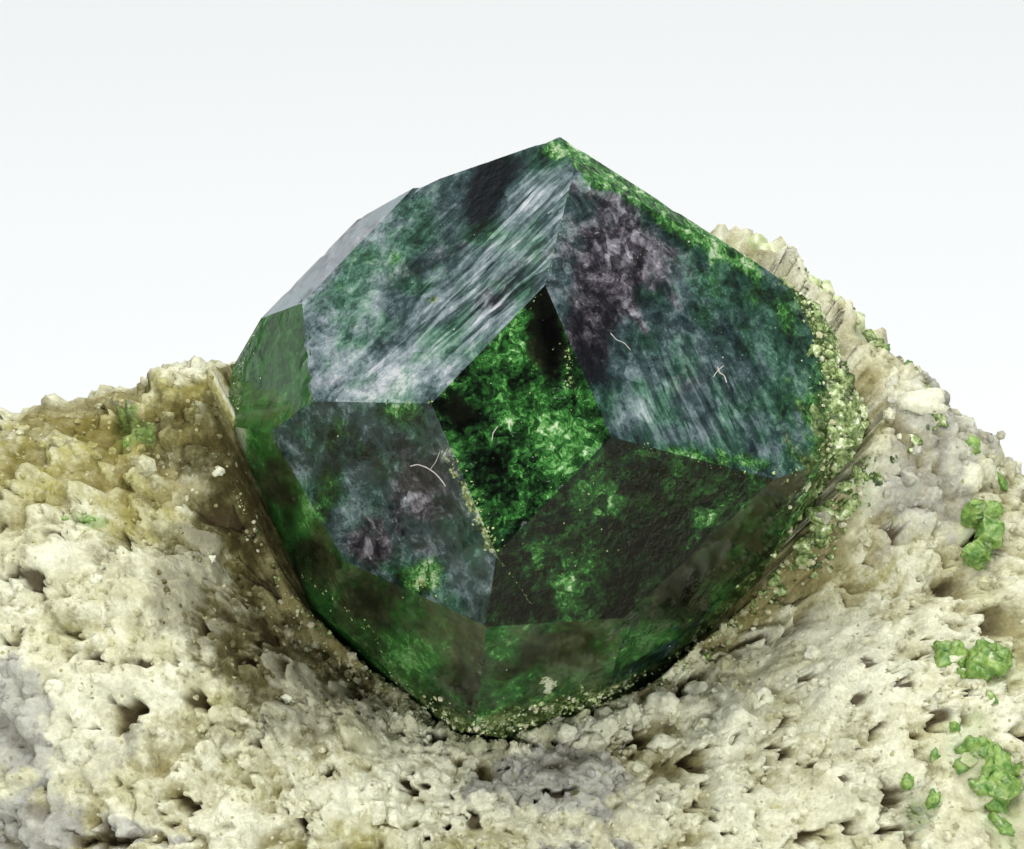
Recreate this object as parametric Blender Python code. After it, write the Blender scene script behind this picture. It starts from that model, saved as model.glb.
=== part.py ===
"""A demantoid garnet crystal that sits in a hollow of its cream-coloured rock."""
import math

import bmesh
import bpy
import numpy as np
from mathutils import Matrix, Vector

mm = 0.001

for thing in list(bpy.data.objects):
    bpy.data.objects.remove(thing, do_unlink=True)

# Driving dimensions, in millimetres
crystalCentre = (0.515, 0.0, 8.6)  # above the middle of the rock's base
facing = 22.0  # degrees that the crystal's front rhomb looks upwards
socketGap = 0.10  # clear space between the crystal and the rock
grainGap = 0.03  # clear space between a small green grain and the rock
rockCentre = (-0.8, 2.9, 0.6)
rockHalf = (10.2, 6.2, 7.9)  # half length, half depth and height above its centre
rockSquareness = 3.0
rockRoll = 0.18  # the block stands a little lower on the right
rockPitch = 0.54  # and leans back, so that its front top edge carries the crystal
rockStep = 27  # squares along each side of the rock's starting block

# How the crystal's axes lie: the first two form the front edge, the third runs left to right
turnInPicture = math.radians(-10.17)
leanUp = 0.0738
leanSide = -0.0512

# The crystal's faces: direction on its own axes, and distance from its centre
crystalFaces = {
    "front rhomb": ((1.000, 0.999, -0.002), 3.175),
    "upper left rhomb": ((0.947, 0.010, -1.000), 2.594),
    "upper right rhomb": ((0.971, 0.027, 1.000), 2.270),
    "lower left rhomb": ((0.032, 0.979, -1.000), 2.787),
    "lower right rhomb": ((0.005, 0.959, 1.000), 2.397),
    "upper left sliver": ((0.708, -0.230, -1.000), 3.360),
    "left steep face": ((0.443, 0.111, -1.000), 3.207),
    "lower left sliver": ((-0.307, 0.781, -1.000), 3.256),
    "lower right sliver": ((-0.342, 0.675, 1.000), 2.682),
    "bottom right": ((-0.477, 1.000, 0.764), 2.838),
    "bottom left": ((-0.450, 1.000, -0.745), 3.157),
    "bottom left rim": ((-0.813, 1.000, -0.826), 3.830),
    "bottom right rim": ((-0.489, 0.702, 1.000), 2.960),
    "right sliver": ((0.797, -0.239, 1.000), 3.205),
    "right rim": ((0.641, -0.266, 1.000), 3.563),
    "right lower rim": ((-0.278, 0.408, 1.000), 3.210),
    "top right sliver": ((1.000, -0.518, 0.640), 3.250),
    "top left back": ((0.701, -1.000, -0.288), 4.029),
    "top right back": ((0.822, -1.000, 0.363), 3.773),
    "left rim": ((-0.330, 0.019, -1.000), 5.330),
    "back rhomb": ((-1, -1, 0), 4.576),
    "back lower right rhomb": ((-1, 0, 1), 5.720),
    "back lower left rhomb": ((-1, 0, -1), 5.900),
    "back upper right rhomb": ((0, -1, 1), 5.377),
    "back upper left rhomb": ((0, -1, -1), 5.506),
    "bottom rhomb": ((-1, 1, 0), 4.362),
}

# Places that the rock's skin passes through: its skyline, the hollow round the crystal, and its front
skinPoints = (
    (-9.4, 3.0, 6.2), (-7.4, 2.1, 7.8), (-5.7, 2.4, 7.8), (-4.0, 2.6, 8.3), (3.6, 4.7, 9.4),
    (4.8, 4.0, 8.6), (6.0, 2.8, 7.4), (7.4, 1.7, 5.7), (9.0, 2.4, 3.8),
    (-7.4, 5.4, 6.3), (-4.0, 6.2, 6.9), (-0.5, 6.6, 8.0), (3.5, 7.2, 7.2), (6.0, 5.2, 6.3), (7.4, 5.2, 4.6),
    (-4.6, 1.6, 7.4), (-4.0, 1.3, 6.0), (-3.2, 0.8, 5.0), (-1.8, 0.3, 4.1), (-0.2, -0.3, 3.8),
    (1.6, 0.4, 3.8), (2.8, 1.0, 4.3), (4.0, 1.8, 5.0), (5.0, 2.2, 6.2),
    (-7.4, -0.1, 6.6), (-5.5, 0.1, 6.6), (7.3, -0.5, 4.9), (5.6, -0.4, 4.6), (2.7, -1.2, 3.5),
    (-0.2, -2.0, 3.0), (-4.5, -2.3, 3.8), (-7.3, -2.4, 3.9), (7.3, -2.2, 3.0),
)
skinReach = 0.32  # how far, as an angle, one of those places pulls the skin

# Small green garnets on the right of the rock: place near the skin and size of each, cluster by cluster
crusts = {
    "garnet_crust_upper": (((7.1, 2.45, 6.55), 0.23), ((7.3, 2.15, 6.3), 0.27), ((7.15, 1.8, 6.1), 0.23)),
    "garnet_crust_middle": (((6.4, 0.0, 5.1), 0.24), ((6.8, -0.15, 5.05), 0.27), ((7.1, -0.15, 5.1), 0.22)),
    "garnet_crust_lower": (((6.3, -1.15, 4.05), 0.25), ((6.5, -1.25, 3.85), 0.29), ((6.75, -1.6, 3.65), 0.25)),
}
grainProud = 0.08  # how far a green grain's middle stands out of the skin
rhombFaces = {
    (a, b, c): ((a, b, c), 1.0)
    for a in (-1, 0, 1) for b in (-1, 0, 1) for c in (-1, 0, 1)
    if abs(a) + abs(b) + abs(c) == 2
}


def collectionNamed(name, hidden=False):
    """A group for the pieces, or a hidden one for the shapes that cut them."""
    group = bpy.data.collections.new(name)
    bpy.context.scene.collection.children.link(group)
    group.hide_render = hidden
    return group


specimen = collectionNamed("demantoid_on_matrix")
cutters = collectionNamed("cutters", hidden=True)


def material(name, colour, roughness, glass=0.0):
    """A plain surface with a colour, a roughness and, for a crystal, how see-through it is."""
    made = bpy.data.materials.new(name)
    made.use_nodes = True
    shader = made.node_tree.nodes["Principled BSDF"]
    shader.inputs["Base Color"].default_value = (*colour, 1.0)
    shader.inputs["Roughness"].default_value = roughness
    shader.inputs["Transmission Weight"].default_value = glass
    shader.inputs["IOR"].default_value = 1.88 if glass else 1.5
    return made


def crystalAxes():
    """World directions of the crystal's three axes, as the columns of a matrix."""
    half = 1 / math.sqrt(2)
    toPicture = Matrix(((0, 0, 1), (half, -half, 0), (half, half, 0)))
    up = Matrix.Rotation(-leanUp, 3, "X")
    side = Matrix.Rotation(leanSide, 3, "Y")
    turned = Matrix.Rotation(turnInPicture, 3, "Z") @ side @ up @ toPicture
    picture = Matrix.Rotation(math.radians(90 - facing), 3, "X")
    return picture @ turned


def grownSolid(name, faces, axes, centre, grow=0.0, size=1.0):
    """A convex crystal: a block with everything outside each face cut away."""
    solid = bmesh.new()
    bmesh.ops.create_cube(solid, size=16 * mm * size)
    for direction, distance in faces.values():
        normal = (axes @ Vector(direction)).normalized()
        geometry = list(solid.verts) + list(solid.edges) + list(solid.faces)
        cut = bmesh.ops.bisect_plane(
            solid, geom=geometry, plane_co=normal * (distance * size + grow) * mm,
            plane_no=normal, clear_outer=True, dist=1e-8,
        )
        rim = [e for e in cut["geom_cut"] if isinstance(e, bmesh.types.BMEdge)]
        if rim:
            bmesh.ops.contextual_create(solid, geom=rim)
    bmesh.ops.translate(solid, verts=solid.verts, vec=Vector(centre) * mm)
    bmesh.ops.recalc_face_normals(solid, faces=solid.faces)
    mesh = bpy.data.meshes.new(name)
    solid.to_mesh(mesh)
    solid.free()
    return bpy.data.objects.new(name, mesh)


def combine(target, tool, operation):
    """Joins one solid to another, or cuts the other out of it, and keeps the result in the first."""
    step = target.modifiers.new(operation.lower(), "BOOLEAN")
    step.object = tool
    step.operation = operation
    step.solver = "EXACT"
    bpy.context.view_layer.update()
    shaped = target.evaluated_get(bpy.context.evaluated_depsgraph_get())
    mesh = bpy.data.meshes.new_from_object(shaped)
    target.modifiers.remove(step)
    target.data = mesh


def clusterOf(name, grains, grow=0.0):
    """Several small rhombic dodecahedra, each turned its own way, seated on the skin and grown into one."""
    whole = None
    for number, (place, size) in enumerate(grains):
        axes = Matrix.Rotation(0.9 + 1.3 * number, 3, "Z") @ Matrix.Rotation(0.5 + 0.8 * number, 3, "X")
        away = np.array(place) - np.array(rockCentre)
        way = (away / np.linalg.norm(away))[None, :]
        seat = np.array(rockCentre) + (way * (skin(way)[:, None] + grainProud))[0]
        grain = grownSolid(name, rhombFaces, axes, seat, grow, size)
        cutters.objects.link(grain)
        if whole is None:
            whole = grain
        else:
            combine(whole, grain, "UNION")
            bpy.data.objects.remove(grain)
    return whole


def pull(away):
    """How strongly a place acts at a given angle from it: 1 at the place, fading smoothly."""
    reach = away / skinReach
    return (1 + reach) * np.exp(-reach)


def boulder(ways):
    """Distance from the rock's centre to a leaning rounded block's surface, along unit directions."""
    lean = Matrix.Rotation(rockRoll, 3, "Y") @ Matrix.Rotation(rockPitch, 3, "X")
    across = np.abs(ways @ np.array(lean).T / np.array(rockHalf))
    return np.sum(across ** rockSquareness, axis=1) ** (-1 / rockSquareness)


def skin(ways):
    """Distance from the rock's centre to its skin: the rounded block, drawn to the given places."""
    places = np.array(skinPoints) - np.array(rockCentre)
    far = np.linalg.norm(places, axis=1)
    toPlaces = places / far[:, None]
    between = np.linalg.norm(toPlaces[:, None, :] - toPlaces[None, :, :], axis=2)
    strength = np.linalg.solve(pull(between), far - boulder(toPlaces))
    away = np.linalg.norm(ways[:, None, :] - toPlaces[None, :, :], axis=2)
    return boulder(ways) + pull(away) @ strength


def lumps(points):
    """Soft unevenness of the rock, in millimetres: waves that cross at odd angles."""
    x, y, z = points.T
    broad = np.sin(1.3 * x + 0.7 * z + 0.4) * np.sin(1.1 * y - 0.9 * z + 1.7)
    small = np.sin(2.9 * x - 1.7 * y + 2.1) * np.sin(2.3 * z + 2.6 * y) * np.sin(2.1 * x + 3.1 * z)
    return 0.16 * broad + 0.13 * small


def rockSolid(name):
    """The rock: a finely divided cube blown out to the skin and cut flat underneath."""
    solid = bmesh.new()
    bmesh.ops.create_cube(solid, size=2.0)
    bmesh.ops.subdivide_edges(solid, edges=solid.edges, cuts=rockStep - 1, use_grid_fill=True)
    corners = np.array([v.co[:] for v in solid.verts])
    corners = np.tan(corners * math.pi / 4)
    ways = corners / np.linalg.norm(corners, axis=1)[:, None]
    points = ways * skin(ways)[:, None] + np.array(rockCentre)
    points += ways * lumps(points)[:, None]
    for vertex, point in zip(solid.verts, points):
        vertex.co = Vector(point) * mm
    geometry = list(solid.verts) + list(solid.edges) + list(solid.faces)
    cut = bmesh.ops.bisect_plane(
        solid, geom=geometry, plane_co=(0, 0, 0), plane_no=(0, 0, -1), clear_outer=True, dist=1e-8,
    )
    rim = [e for e in cut["geom_cut"] if isinstance(e, bmesh.types.BMEdge)]
    bmesh.ops.contextual_create(solid, geom=rim)
    bmesh.ops.recalc_face_normals(solid, faces=solid.faces)
    mesh = bpy.data.meshes.new(name)
    solid.to_mesh(mesh)
    solid.free()
    return bpy.data.objects.new(name, mesh)


garnetGreen = material("garnet_green", (0.03, 0.22, 0.07), 0.12, glass=0.9)
crustGreen = material("crust_green", (0.16, 0.42, 0.10), 0.35)
rockCream = material("rock_cream", (0.66, 0.60, 0.46), 0.9)

crystal = grownSolid("garnet_crystal", crystalFaces, crystalAxes(), crystalCentre)
crystal.data.materials.append(garnetGreen)
specimen.objects.link(crystal)

rock = rockSolid("matrix_rock")
specimen.objects.link(rock)

socket = grownSolid("crystal_socket", crystalFaces, crystalAxes(), crystalCentre, grow=socketGap)
cutters.objects.link(socket)
combine(rock, socket, "DIFFERENCE")

for crustName, grains in crusts.items():
    seat = clusterOf(crustName + "_seat", grains, grainGap)
    combine(rock, seat, "DIFFERENCE")
    crust = clusterOf(crustName, grains)
    cutters.objects.unlink(crust)
    specimen.objects.link(crust)
    crust.data.materials.append(crustGreen)

rock.data.materials.clear()
rock.data.materials.append(rockCream)

for cutter in cutters.objects:
    cutter.hide_render = True
    cutter.display_type = "WIRE"

# The middle of the base goes to the origin
spots = np.array([v.co[:] for piece in specimen.objects for v in piece.data.vertices])
middle = (spots.min(axis=0) + spots.max(axis=0)) / 2
for piece in list(specimen.objects) + list(cutters.objects):
    piece.data.transform(Matrix.Translation((-middle[0], -middle[1], 0)))
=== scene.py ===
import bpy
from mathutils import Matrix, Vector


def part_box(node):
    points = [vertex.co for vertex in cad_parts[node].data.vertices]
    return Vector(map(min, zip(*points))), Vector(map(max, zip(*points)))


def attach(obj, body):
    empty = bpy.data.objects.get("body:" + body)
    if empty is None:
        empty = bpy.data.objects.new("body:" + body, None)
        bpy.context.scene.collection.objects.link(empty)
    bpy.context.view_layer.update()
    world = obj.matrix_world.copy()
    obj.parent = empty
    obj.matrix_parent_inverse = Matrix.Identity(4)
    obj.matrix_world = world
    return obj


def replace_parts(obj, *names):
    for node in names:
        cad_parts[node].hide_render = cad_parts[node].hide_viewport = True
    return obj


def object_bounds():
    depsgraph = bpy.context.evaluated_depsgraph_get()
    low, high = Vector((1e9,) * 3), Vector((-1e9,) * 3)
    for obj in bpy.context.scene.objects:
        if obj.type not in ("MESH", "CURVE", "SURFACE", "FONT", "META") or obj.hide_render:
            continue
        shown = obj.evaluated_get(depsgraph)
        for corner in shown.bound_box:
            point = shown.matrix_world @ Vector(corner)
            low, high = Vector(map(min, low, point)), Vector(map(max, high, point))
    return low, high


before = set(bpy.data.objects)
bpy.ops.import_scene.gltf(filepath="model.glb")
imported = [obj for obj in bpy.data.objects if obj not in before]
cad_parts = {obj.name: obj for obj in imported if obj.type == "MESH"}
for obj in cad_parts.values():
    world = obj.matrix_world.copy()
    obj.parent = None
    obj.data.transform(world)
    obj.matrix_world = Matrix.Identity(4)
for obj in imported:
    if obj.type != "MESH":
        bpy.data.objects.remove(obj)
cadBox = [list(corner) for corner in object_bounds()]

import math

import bmesh
import bpy
import numpy as np
from mathutils import Matrix, Vector, geometry

mm = 0.001
scene = bpy.context.scene

# The photograph's view, in millimetres and pixels
view = {
    "elevation": 22.0,
    "middle": (0.5497, -2.8299, 8.6730),  # what the middle of the picture shows
    "pixel": 0.0143,
    "width": 1024,
    "height": 849,
    "away": 160.0,
    "lens": 393.4,
}
tilt = math.radians(view["elevation"])
toCamera = np.array((0.0, -math.cos(tilt), math.sin(tilt)))
toRight = np.array((1.0, 0.0, 0.0))
toUp = np.array((0.0, math.sin(tilt), math.cos(tilt)))
eye = np.array(view["middle"]) + toCamera * view["away"]


# Directions from the camera through pixels: the picture's middle, plus right and up steps, less the camera's place
def sightLines(pixels):
    pixels = np.atleast_2d(np.array(pixels, float))
    across = (pixels[:, :1] - view["width"] / 2) * view["pixel"] * toRight
    upward = (view["height"] / 2 - pixels[:, 1:2]) * view["pixel"] * toUp
    lines = np.array(view["middle"]) + across + upward - eye
    return lines / np.linalg.norm(lines, axis=1)[:, None]


# Where places land in the picture: the distance right and up of the middle, scaled by how far off each place is
def pixelsOf(spots):
    off = spots - eye
    scale = view["away"] / -(off @ toCamera) / view["pixel"]
    return np.stack([view["width"] / 2 + off @ toRight * scale, view["height"] / 2 - off @ toUp * scale], axis=1)


# Repeatable noise, worked out on whole arrays
# A value from 0 to 1 for each whole-numbered cell, by mixing the cell's three numbers
def cellValue(cells, salt):
    x, y, z = np.moveaxis(cells.astype(np.int64), -1, 0)
    mixed = (x * 73856093) ^ (y * 19349663) ^ (z * 83492791) ^ (salt * 26544357)
    mixed = ((mixed ^ (mixed >> 13)) * 1274126177) & 0x7FFFFFFF
    mixed = ((mixed ^ (mixed >> 15)) * 668265263) & 0x7FFFFFFF
    return (mixed >> 7 & 0xFFFF) / 65535


# Smooth noise from -1 to 1: the eight corner values of each point's cell, blended by how near each corner is
def softNoise(points, salt):
    low = np.floor(points)
    part = points - low
    part = part * part * (3 - 2 * part)
    value = np.zeros(len(points))
    for corner in np.ndindex(2, 2, 2):
        share = np.prod(np.where(corner, part, 1 - part), axis=1)
        value += share * cellValue(low + corner, salt)
    return value * 2 - 1


# The same noise at finer and finer sizes, each half as strong as the one before
def roughNoise(points, salt, layers=3):
    return sum(softNoise(points * 2.03 ** k + 7.7 * k, salt + k) / 2 ** k for k in range(layers))


# One seed in each cell: distance from each point to the nearest seed, and that seed's own value
def seedNoise(points, salt):
    low = np.floor(points)
    nearest = np.full(len(points), 9.0)
    owner = np.zeros(len(points))
    for step in np.ndindex(3, 3, 3):
        cells = low + np.array(step) - 1
        seeds = cells + np.stack([cellValue(cells, salt + k) for k in range(3)], axis=-1)
        away = np.linalg.norm(points - seeds, axis=1)
        closer = away < nearest
        nearest = np.where(closer, away, nearest)
        owner = np.where(closer, cellValue(cells, salt + 9), owner)
    return nearest, owner


# 0 below low, 1 above high, and an even S-shaped rise between them
def rise(values, low, high):
    share = np.clip((values - low) / (high - low), 0, 1)
    return share * share * (3 - 2 * share)


# Meshes
# A new object in the scene
def placed(name, data):
    made = bpy.data.objects.new(name, data)
    scene.collection.objects.link(made)
    return made


# A mesh in the scene from points in millimetres and lists of faces, turned outwards if its volume comes out negative
def meshPiece(name, points, faceSets, smooth=True):
    volume = 0.0
    for faces in faceSets:
        a = points[faces[:, 0]]
        for k in range(1, faces.shape[1] - 1):
            volume += np.einsum("ij,ij->i", a, np.cross(points[faces[:, k]], points[faces[:, k + 1]])).sum()
    if volume < 0:
        faceSets = [faces[:, ::-1] for faces in faceSets]
    mesh = bpy.data.meshes.new(name)
    corners = np.concatenate([faces.ravel() for faces in faceSets]).astype(np.int32)
    counts = np.concatenate([np.full(len(faces), faces.shape[1]) for faces in faceSets]).astype(np.int32)
    mesh.vertices.add(len(points))
    mesh.vertices.foreach_set("co", (points * mm).astype(np.float32).ravel())
    mesh.loops.add(len(corners))
    mesh.loops.foreach_set("vertex_index", corners)
    mesh.polygons.add(len(counts))
    mesh.polygons.foreach_set("loop_start", np.concatenate([[0], np.cumsum(counts)[:-1]]).astype(np.int32))
    mesh.update(calc_edges=True)
    mesh.validate()
    mesh.polygons.foreach_set("use_smooth", np.full(len(mesh.polygons), smooth))
    return placed(name, mesh)


# Four values at each point or face corner, kept with the mesh for its material
def paintMarks(piece, name, marks, where="POINT"):
    layer = piece.data.attributes.new(name, "FLOAT_COLOR", where)
    layer.data.foreach_set("color", marks.astype(np.float32).ravel())


# Numbers read from a mesh's points, faces or corners, in rows of the given width
def readRows(parts, name, width=3, kind=float):
    values = np.empty(len(parts) * width, kind)
    parts.foreach_get(name, values)
    return values.reshape(-1, width) if width > 1 else values


# New places in millimetres for a mesh's points
def movePoints(mesh, points):
    mesh.vertices.foreach_set("co", (points * mm).astype(np.float32).ravel())
    mesh.update()


# The crystal's flat faces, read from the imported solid: one outward direction and one distance each
def solidPlanes(node):
    faces = node.data.polygons
    normals, centres = readRows(faces, "normal"), readRows(faces, "center") / mm
    found = []
    for k in np.argsort(-readRows(faces, "area", 1)):
        if all(normals[k] @ other < 0.99985 for other, _ in found):
            found.append((normals[k], normals[k] @ centres[k]))
    return np.array([n for n, _ in found]), np.array([d for _, d in found])


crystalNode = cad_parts["garnet_crystal"]
crystalNormals, crystalReach = solidPlanes(crystalNode)
crystalMiddle = np.array(sum(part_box("garnet_crystal"), Vector())) / 2 / mm


# How far each point is outside (+) or inside (-) the crystal: the largest of its distances past the faces
def pastCrystal(points):
    return (points @ crystalNormals.T - crystalReach).max(axis=1)


# Where sight lines meet the crystal, and which face: the last face plane crossed on the way in
def onCrystal(pixels):
    lines = sightLines(pixels)
    facing = lines @ crystalNormals.T
    reach = (crystalReach - eye @ crystalNormals.T) / np.where(facing < 0, facing, -1e-9)
    reach = np.where(facing < 0, reach, -1e9)
    face = reach.argmax(axis=1)
    return eye + lines * reach.max(axis=1)[:, None], face


# The rock
rock = {
    "centre": (-0.8, 2.9, 0.6),
    "half": (10.2, 6.2, 7.9),
    "squareness": 3.0,
    "roll": 0.18,
    "pitch": 0.54,
    "reach": 0.32,
    "shift": (0.5497, -2.8594, 0.0),  # from the rock's own drawing to the middle of its base
    "socket": 0.03,  # clear space round the crystal
    "overlap": 0.04,  # how much of the crystal's very rim the rock may hide
    "cliff": 0.6,  # the thickest rock beside the crystal that is cleared away with what stands in front of it
    "dents": 0.34,  # how much deeper the socket's wall is in its deepest places
    "steps": 116,
    "focus": 1.6,  # how much finer the mesh is at the front
}
rockShift = np.array(rock["shift"])
rockCentre = np.array(rock["centre"]) + rockShift
skinPlaces = np.array((
    (-9.4, 3.0, 6.2), (-7.4, 2.1, 7.8), (-5.7, 2.4, 7.8), (-4.0, 2.6, 8.3), (3.6, 4.7, 9.4),
    (4.8, 4.0, 8.6), (6.0, 2.8, 7.4), (7.4, 1.7, 5.7), (9.0, 2.4, 3.8),
    (-7.4, 5.4, 6.3), (-4.0, 6.2, 6.9), (-0.5, 6.6, 8.0), (3.5, 7.2, 7.2), (6.0, 5.2, 6.3), (7.4, 5.2, 4.6),
    (-4.6, 1.6, 7.4), (-4.0, 1.3, 6.0), (-3.2, 0.8, 5.0), (-1.8, 0.3, 4.1), (-0.2, -0.3, 3.8),
    (1.6, 0.4, 3.8), (2.8, 1.0, 4.3), (4.0, 1.8, 5.0), (5.0, 2.2, 6.2),
    (-7.4, -0.1, 6.6), (-5.5, 0.1, 6.6), (7.3, -0.5, 4.9), (5.6, -0.4, 4.6), (2.7, -1.2, 3.5),
    (-0.2, -2.0, 3.0), (-4.5, -2.3, 3.8), (-7.3, -2.4, 3.9), (7.3, -2.2, 3.0),
)) + rockShift


# How strongly a skin place acts at a given angle from it
def pull(away):
    return (1 + away / rock["reach"]) * np.exp(-away / rock["reach"])


# Distance from the rock's centre to a leaning rounded block along unit directions
def boulder(ways):
    lean = Matrix.Rotation(rock["roll"], 3, "Y") @ Matrix.Rotation(rock["pitch"], 3, "X")
    across = np.abs(ways @ np.array(lean).T / np.array(rock["half"]))
    return np.sum(across ** rock["squareness"], axis=1) ** (-1 / rock["squareness"])


placeWays = skinPlaces - rockCentre
placeFar = np.linalg.norm(placeWays, axis=1)
placeWays = placeWays / placeFar[:, None]
placeGaps = np.linalg.norm(placeWays[:, None, :] - placeWays[None, :, :], axis=2)
placeStrength = np.linalg.solve(pull(placeGaps), placeFar - boulder(placeWays))


# Distance from the centre to the smooth skin: the rounded block, drawn to the skin places
def skinFar(ways):
    away = np.linalg.norm(ways[:, None, :] - placeWays[None, :, :], axis=2)
    return boulder(ways) + pull(away) @ placeStrength


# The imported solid's own soft unevenness: waves that cross at odd angles
def softLumps(points):
    x, y, z = (points - rockShift).T
    broad = np.sin(1.3 * x + 0.7 * z + 0.4) * np.sin(1.1 * y - 0.9 * z + 1.7)
    small = np.sin(2.9 * x - 1.7 * y + 2.1) * np.sin(2.3 * z + 2.6 * y) * np.sin(2.1 * x + 3.1 * z)
    return 0.16 * broad + 0.13 * small


# Where sight lines first meet the smooth skin: many depths are tried along each line
def onRock(pixels):
    lines = sightLines(pixels)
    depths = view["away"] + np.linspace(-9, 9, 361)
    spots = eye + lines[:, None, :] * depths[None, :, None]
    off = spots - rockCentre
    far = np.linalg.norm(off, axis=2)
    outside = far - skinFar((off / far[..., None]).reshape(-1, 3)).reshape(far.shape)
    first = np.where((outside < 0).any(axis=1), (outside < 0).argmax(axis=1), outside.argmin(axis=1))
    return spots[np.arange(len(lines)), first]


# The rock's own features, by where the photograph shows them: pixel across and down, half width, half height, turn
hollows = (
    (40, 583, 26, 7, 12), (72, 632, 7, 6, 0), (26, 650, 7, 8, 0), (102, 656, 22, 7, 5), (150, 664, 24, 5, -8),
    (132, 711, 24, 8, -24), (99, 728, 12, 5, 0), (179, 796, 10, 9, 30), (131, 792, 10, 6, 20),
    (305, 821, 7, 6, 0), (102, 841, 22, 8, 0), (126, 544, 11, 12, 0), (252, 556, 13, 22, 10),
    (193, 694, 9, 11, 0), (366, 697, 12, 14, 0), (242, 663, 9, 7, 0), (198, 497, 17, 12, 0),
    (409, 783, 12, 6, 10), (55, 540, 8, 5, 0), (170, 824, 8, 5, 0), (230, 600, 14, 8, 0),
    (800, 677, 8, 7, 0), (939, 715, 9, 14, 20), (602, 719, 11, 14, 0), (648, 735, 20, 10, -20),
    (700, 763, 12, 14, 50), (884, 797, 12, 18, 0), (910, 838, 9, 9, 0), (806, 838, 20, 7, -10),
    (857, 582, 10, 6, 0), (848, 829, 7, 7, 0), (868, 790, 6, 6, 0), (898, 671, 8, 6, 0), (688, 690, 16, 8, -35),
    (805, 578, 18, 8, -55), (956, 587, 10, 16, 10), (985, 527, 18, 5, -45), (782, 753, 6, 10, 0),
    (1018, 732, 8, 10, 0), (436, 738, 16, 6, 10), (520, 742, 18, 6, -5), (330, 775, 8, 6, 0), (262, 745, 9, 7, 0),
    (560, 795, 9, 6, 0), (470, 820, 10, 6, 0), (930, 640, 7, 8, 0), (760, 640, 10, 6, -40),
    (842, 602, 8, 5, 20), (868, 640, 6, 9, 0), (905, 615, 9, 5, -20), (925, 662, 7, 7, 0), (850, 700, 9, 5, 10),
    (880, 730, 5, 11, 10), (915, 752, 7, 9, 0), (762, 692, 9, 6, 0), (784, 722, 7, 5, 0), (812, 762, 10, 6, 0),
    (745, 792, 9, 5, 0), (690, 812, 10, 5, 0), (835, 782, 5, 8, 0), (872, 556, 6, 8, 0), (893, 530, 5, 8, 0),
    (925, 508, 5, 8, 0), (905, 470, 8, 4, 20), (950, 556, 5, 9, 0), (995, 612, 6, 8, 0), (962, 700, 4, 8, 20),
    (660, 780, 8, 5, 0), (600, 770, 8, 5, 0), (720, 742, 7, 5, 0), (900, 690, 8, 5, -30), (860, 668, 5, 6, 0),
)
swellings = (
    (622, 722, 16, 16, 0, 0.30), (552, 724, 15, 12, 0, 0.16), (733, 722, 40, 34, 0, 0.30),
    (850, 800, 44, 30, -20, 0.22),
    (140, 685, 62, 20, 6, 0.22), (60, 715, 40, 24, 0, 0.18), (330, 800, 40, 28, 0, 0.18),
    (930, 410, 34, 22, 20, 0.12),
    (60, 398, 70, 34, -8, -0.30), (130, 386, 44, 26, -14, -0.20), (60, 560, 50, 16, 8, 0.14),
    (900, 560, 34, 26, 0, 0.16), (225, 830, 40, 22, 0, 0.14), (480, 800, 30, 20, 0, 0.12),
    (700, 820, 44, 22, 0, 0.14), (820, 640, 30, 18, -30, 0.12),
    (238, 496, 28, 40, 0, -0.35), (256, 548, 30, 38, 20, -0.40), (284, 594, 32, 32, 30, -0.40),
    (316, 634, 34, 28, 40, -0.40), (350, 664, 34, 24, 40, -0.36), (392, 698, 30, 16, 30, -0.24),
    (832, 520, 28, 36, -20, -0.35), (800, 566, 32, 32, -40, -0.42), (760, 606, 34, 28, -40, -0.42),
    (714, 646, 34, 24, -35, -0.38), (664, 684, 34, 18, -30, -0.28),
)
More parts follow.
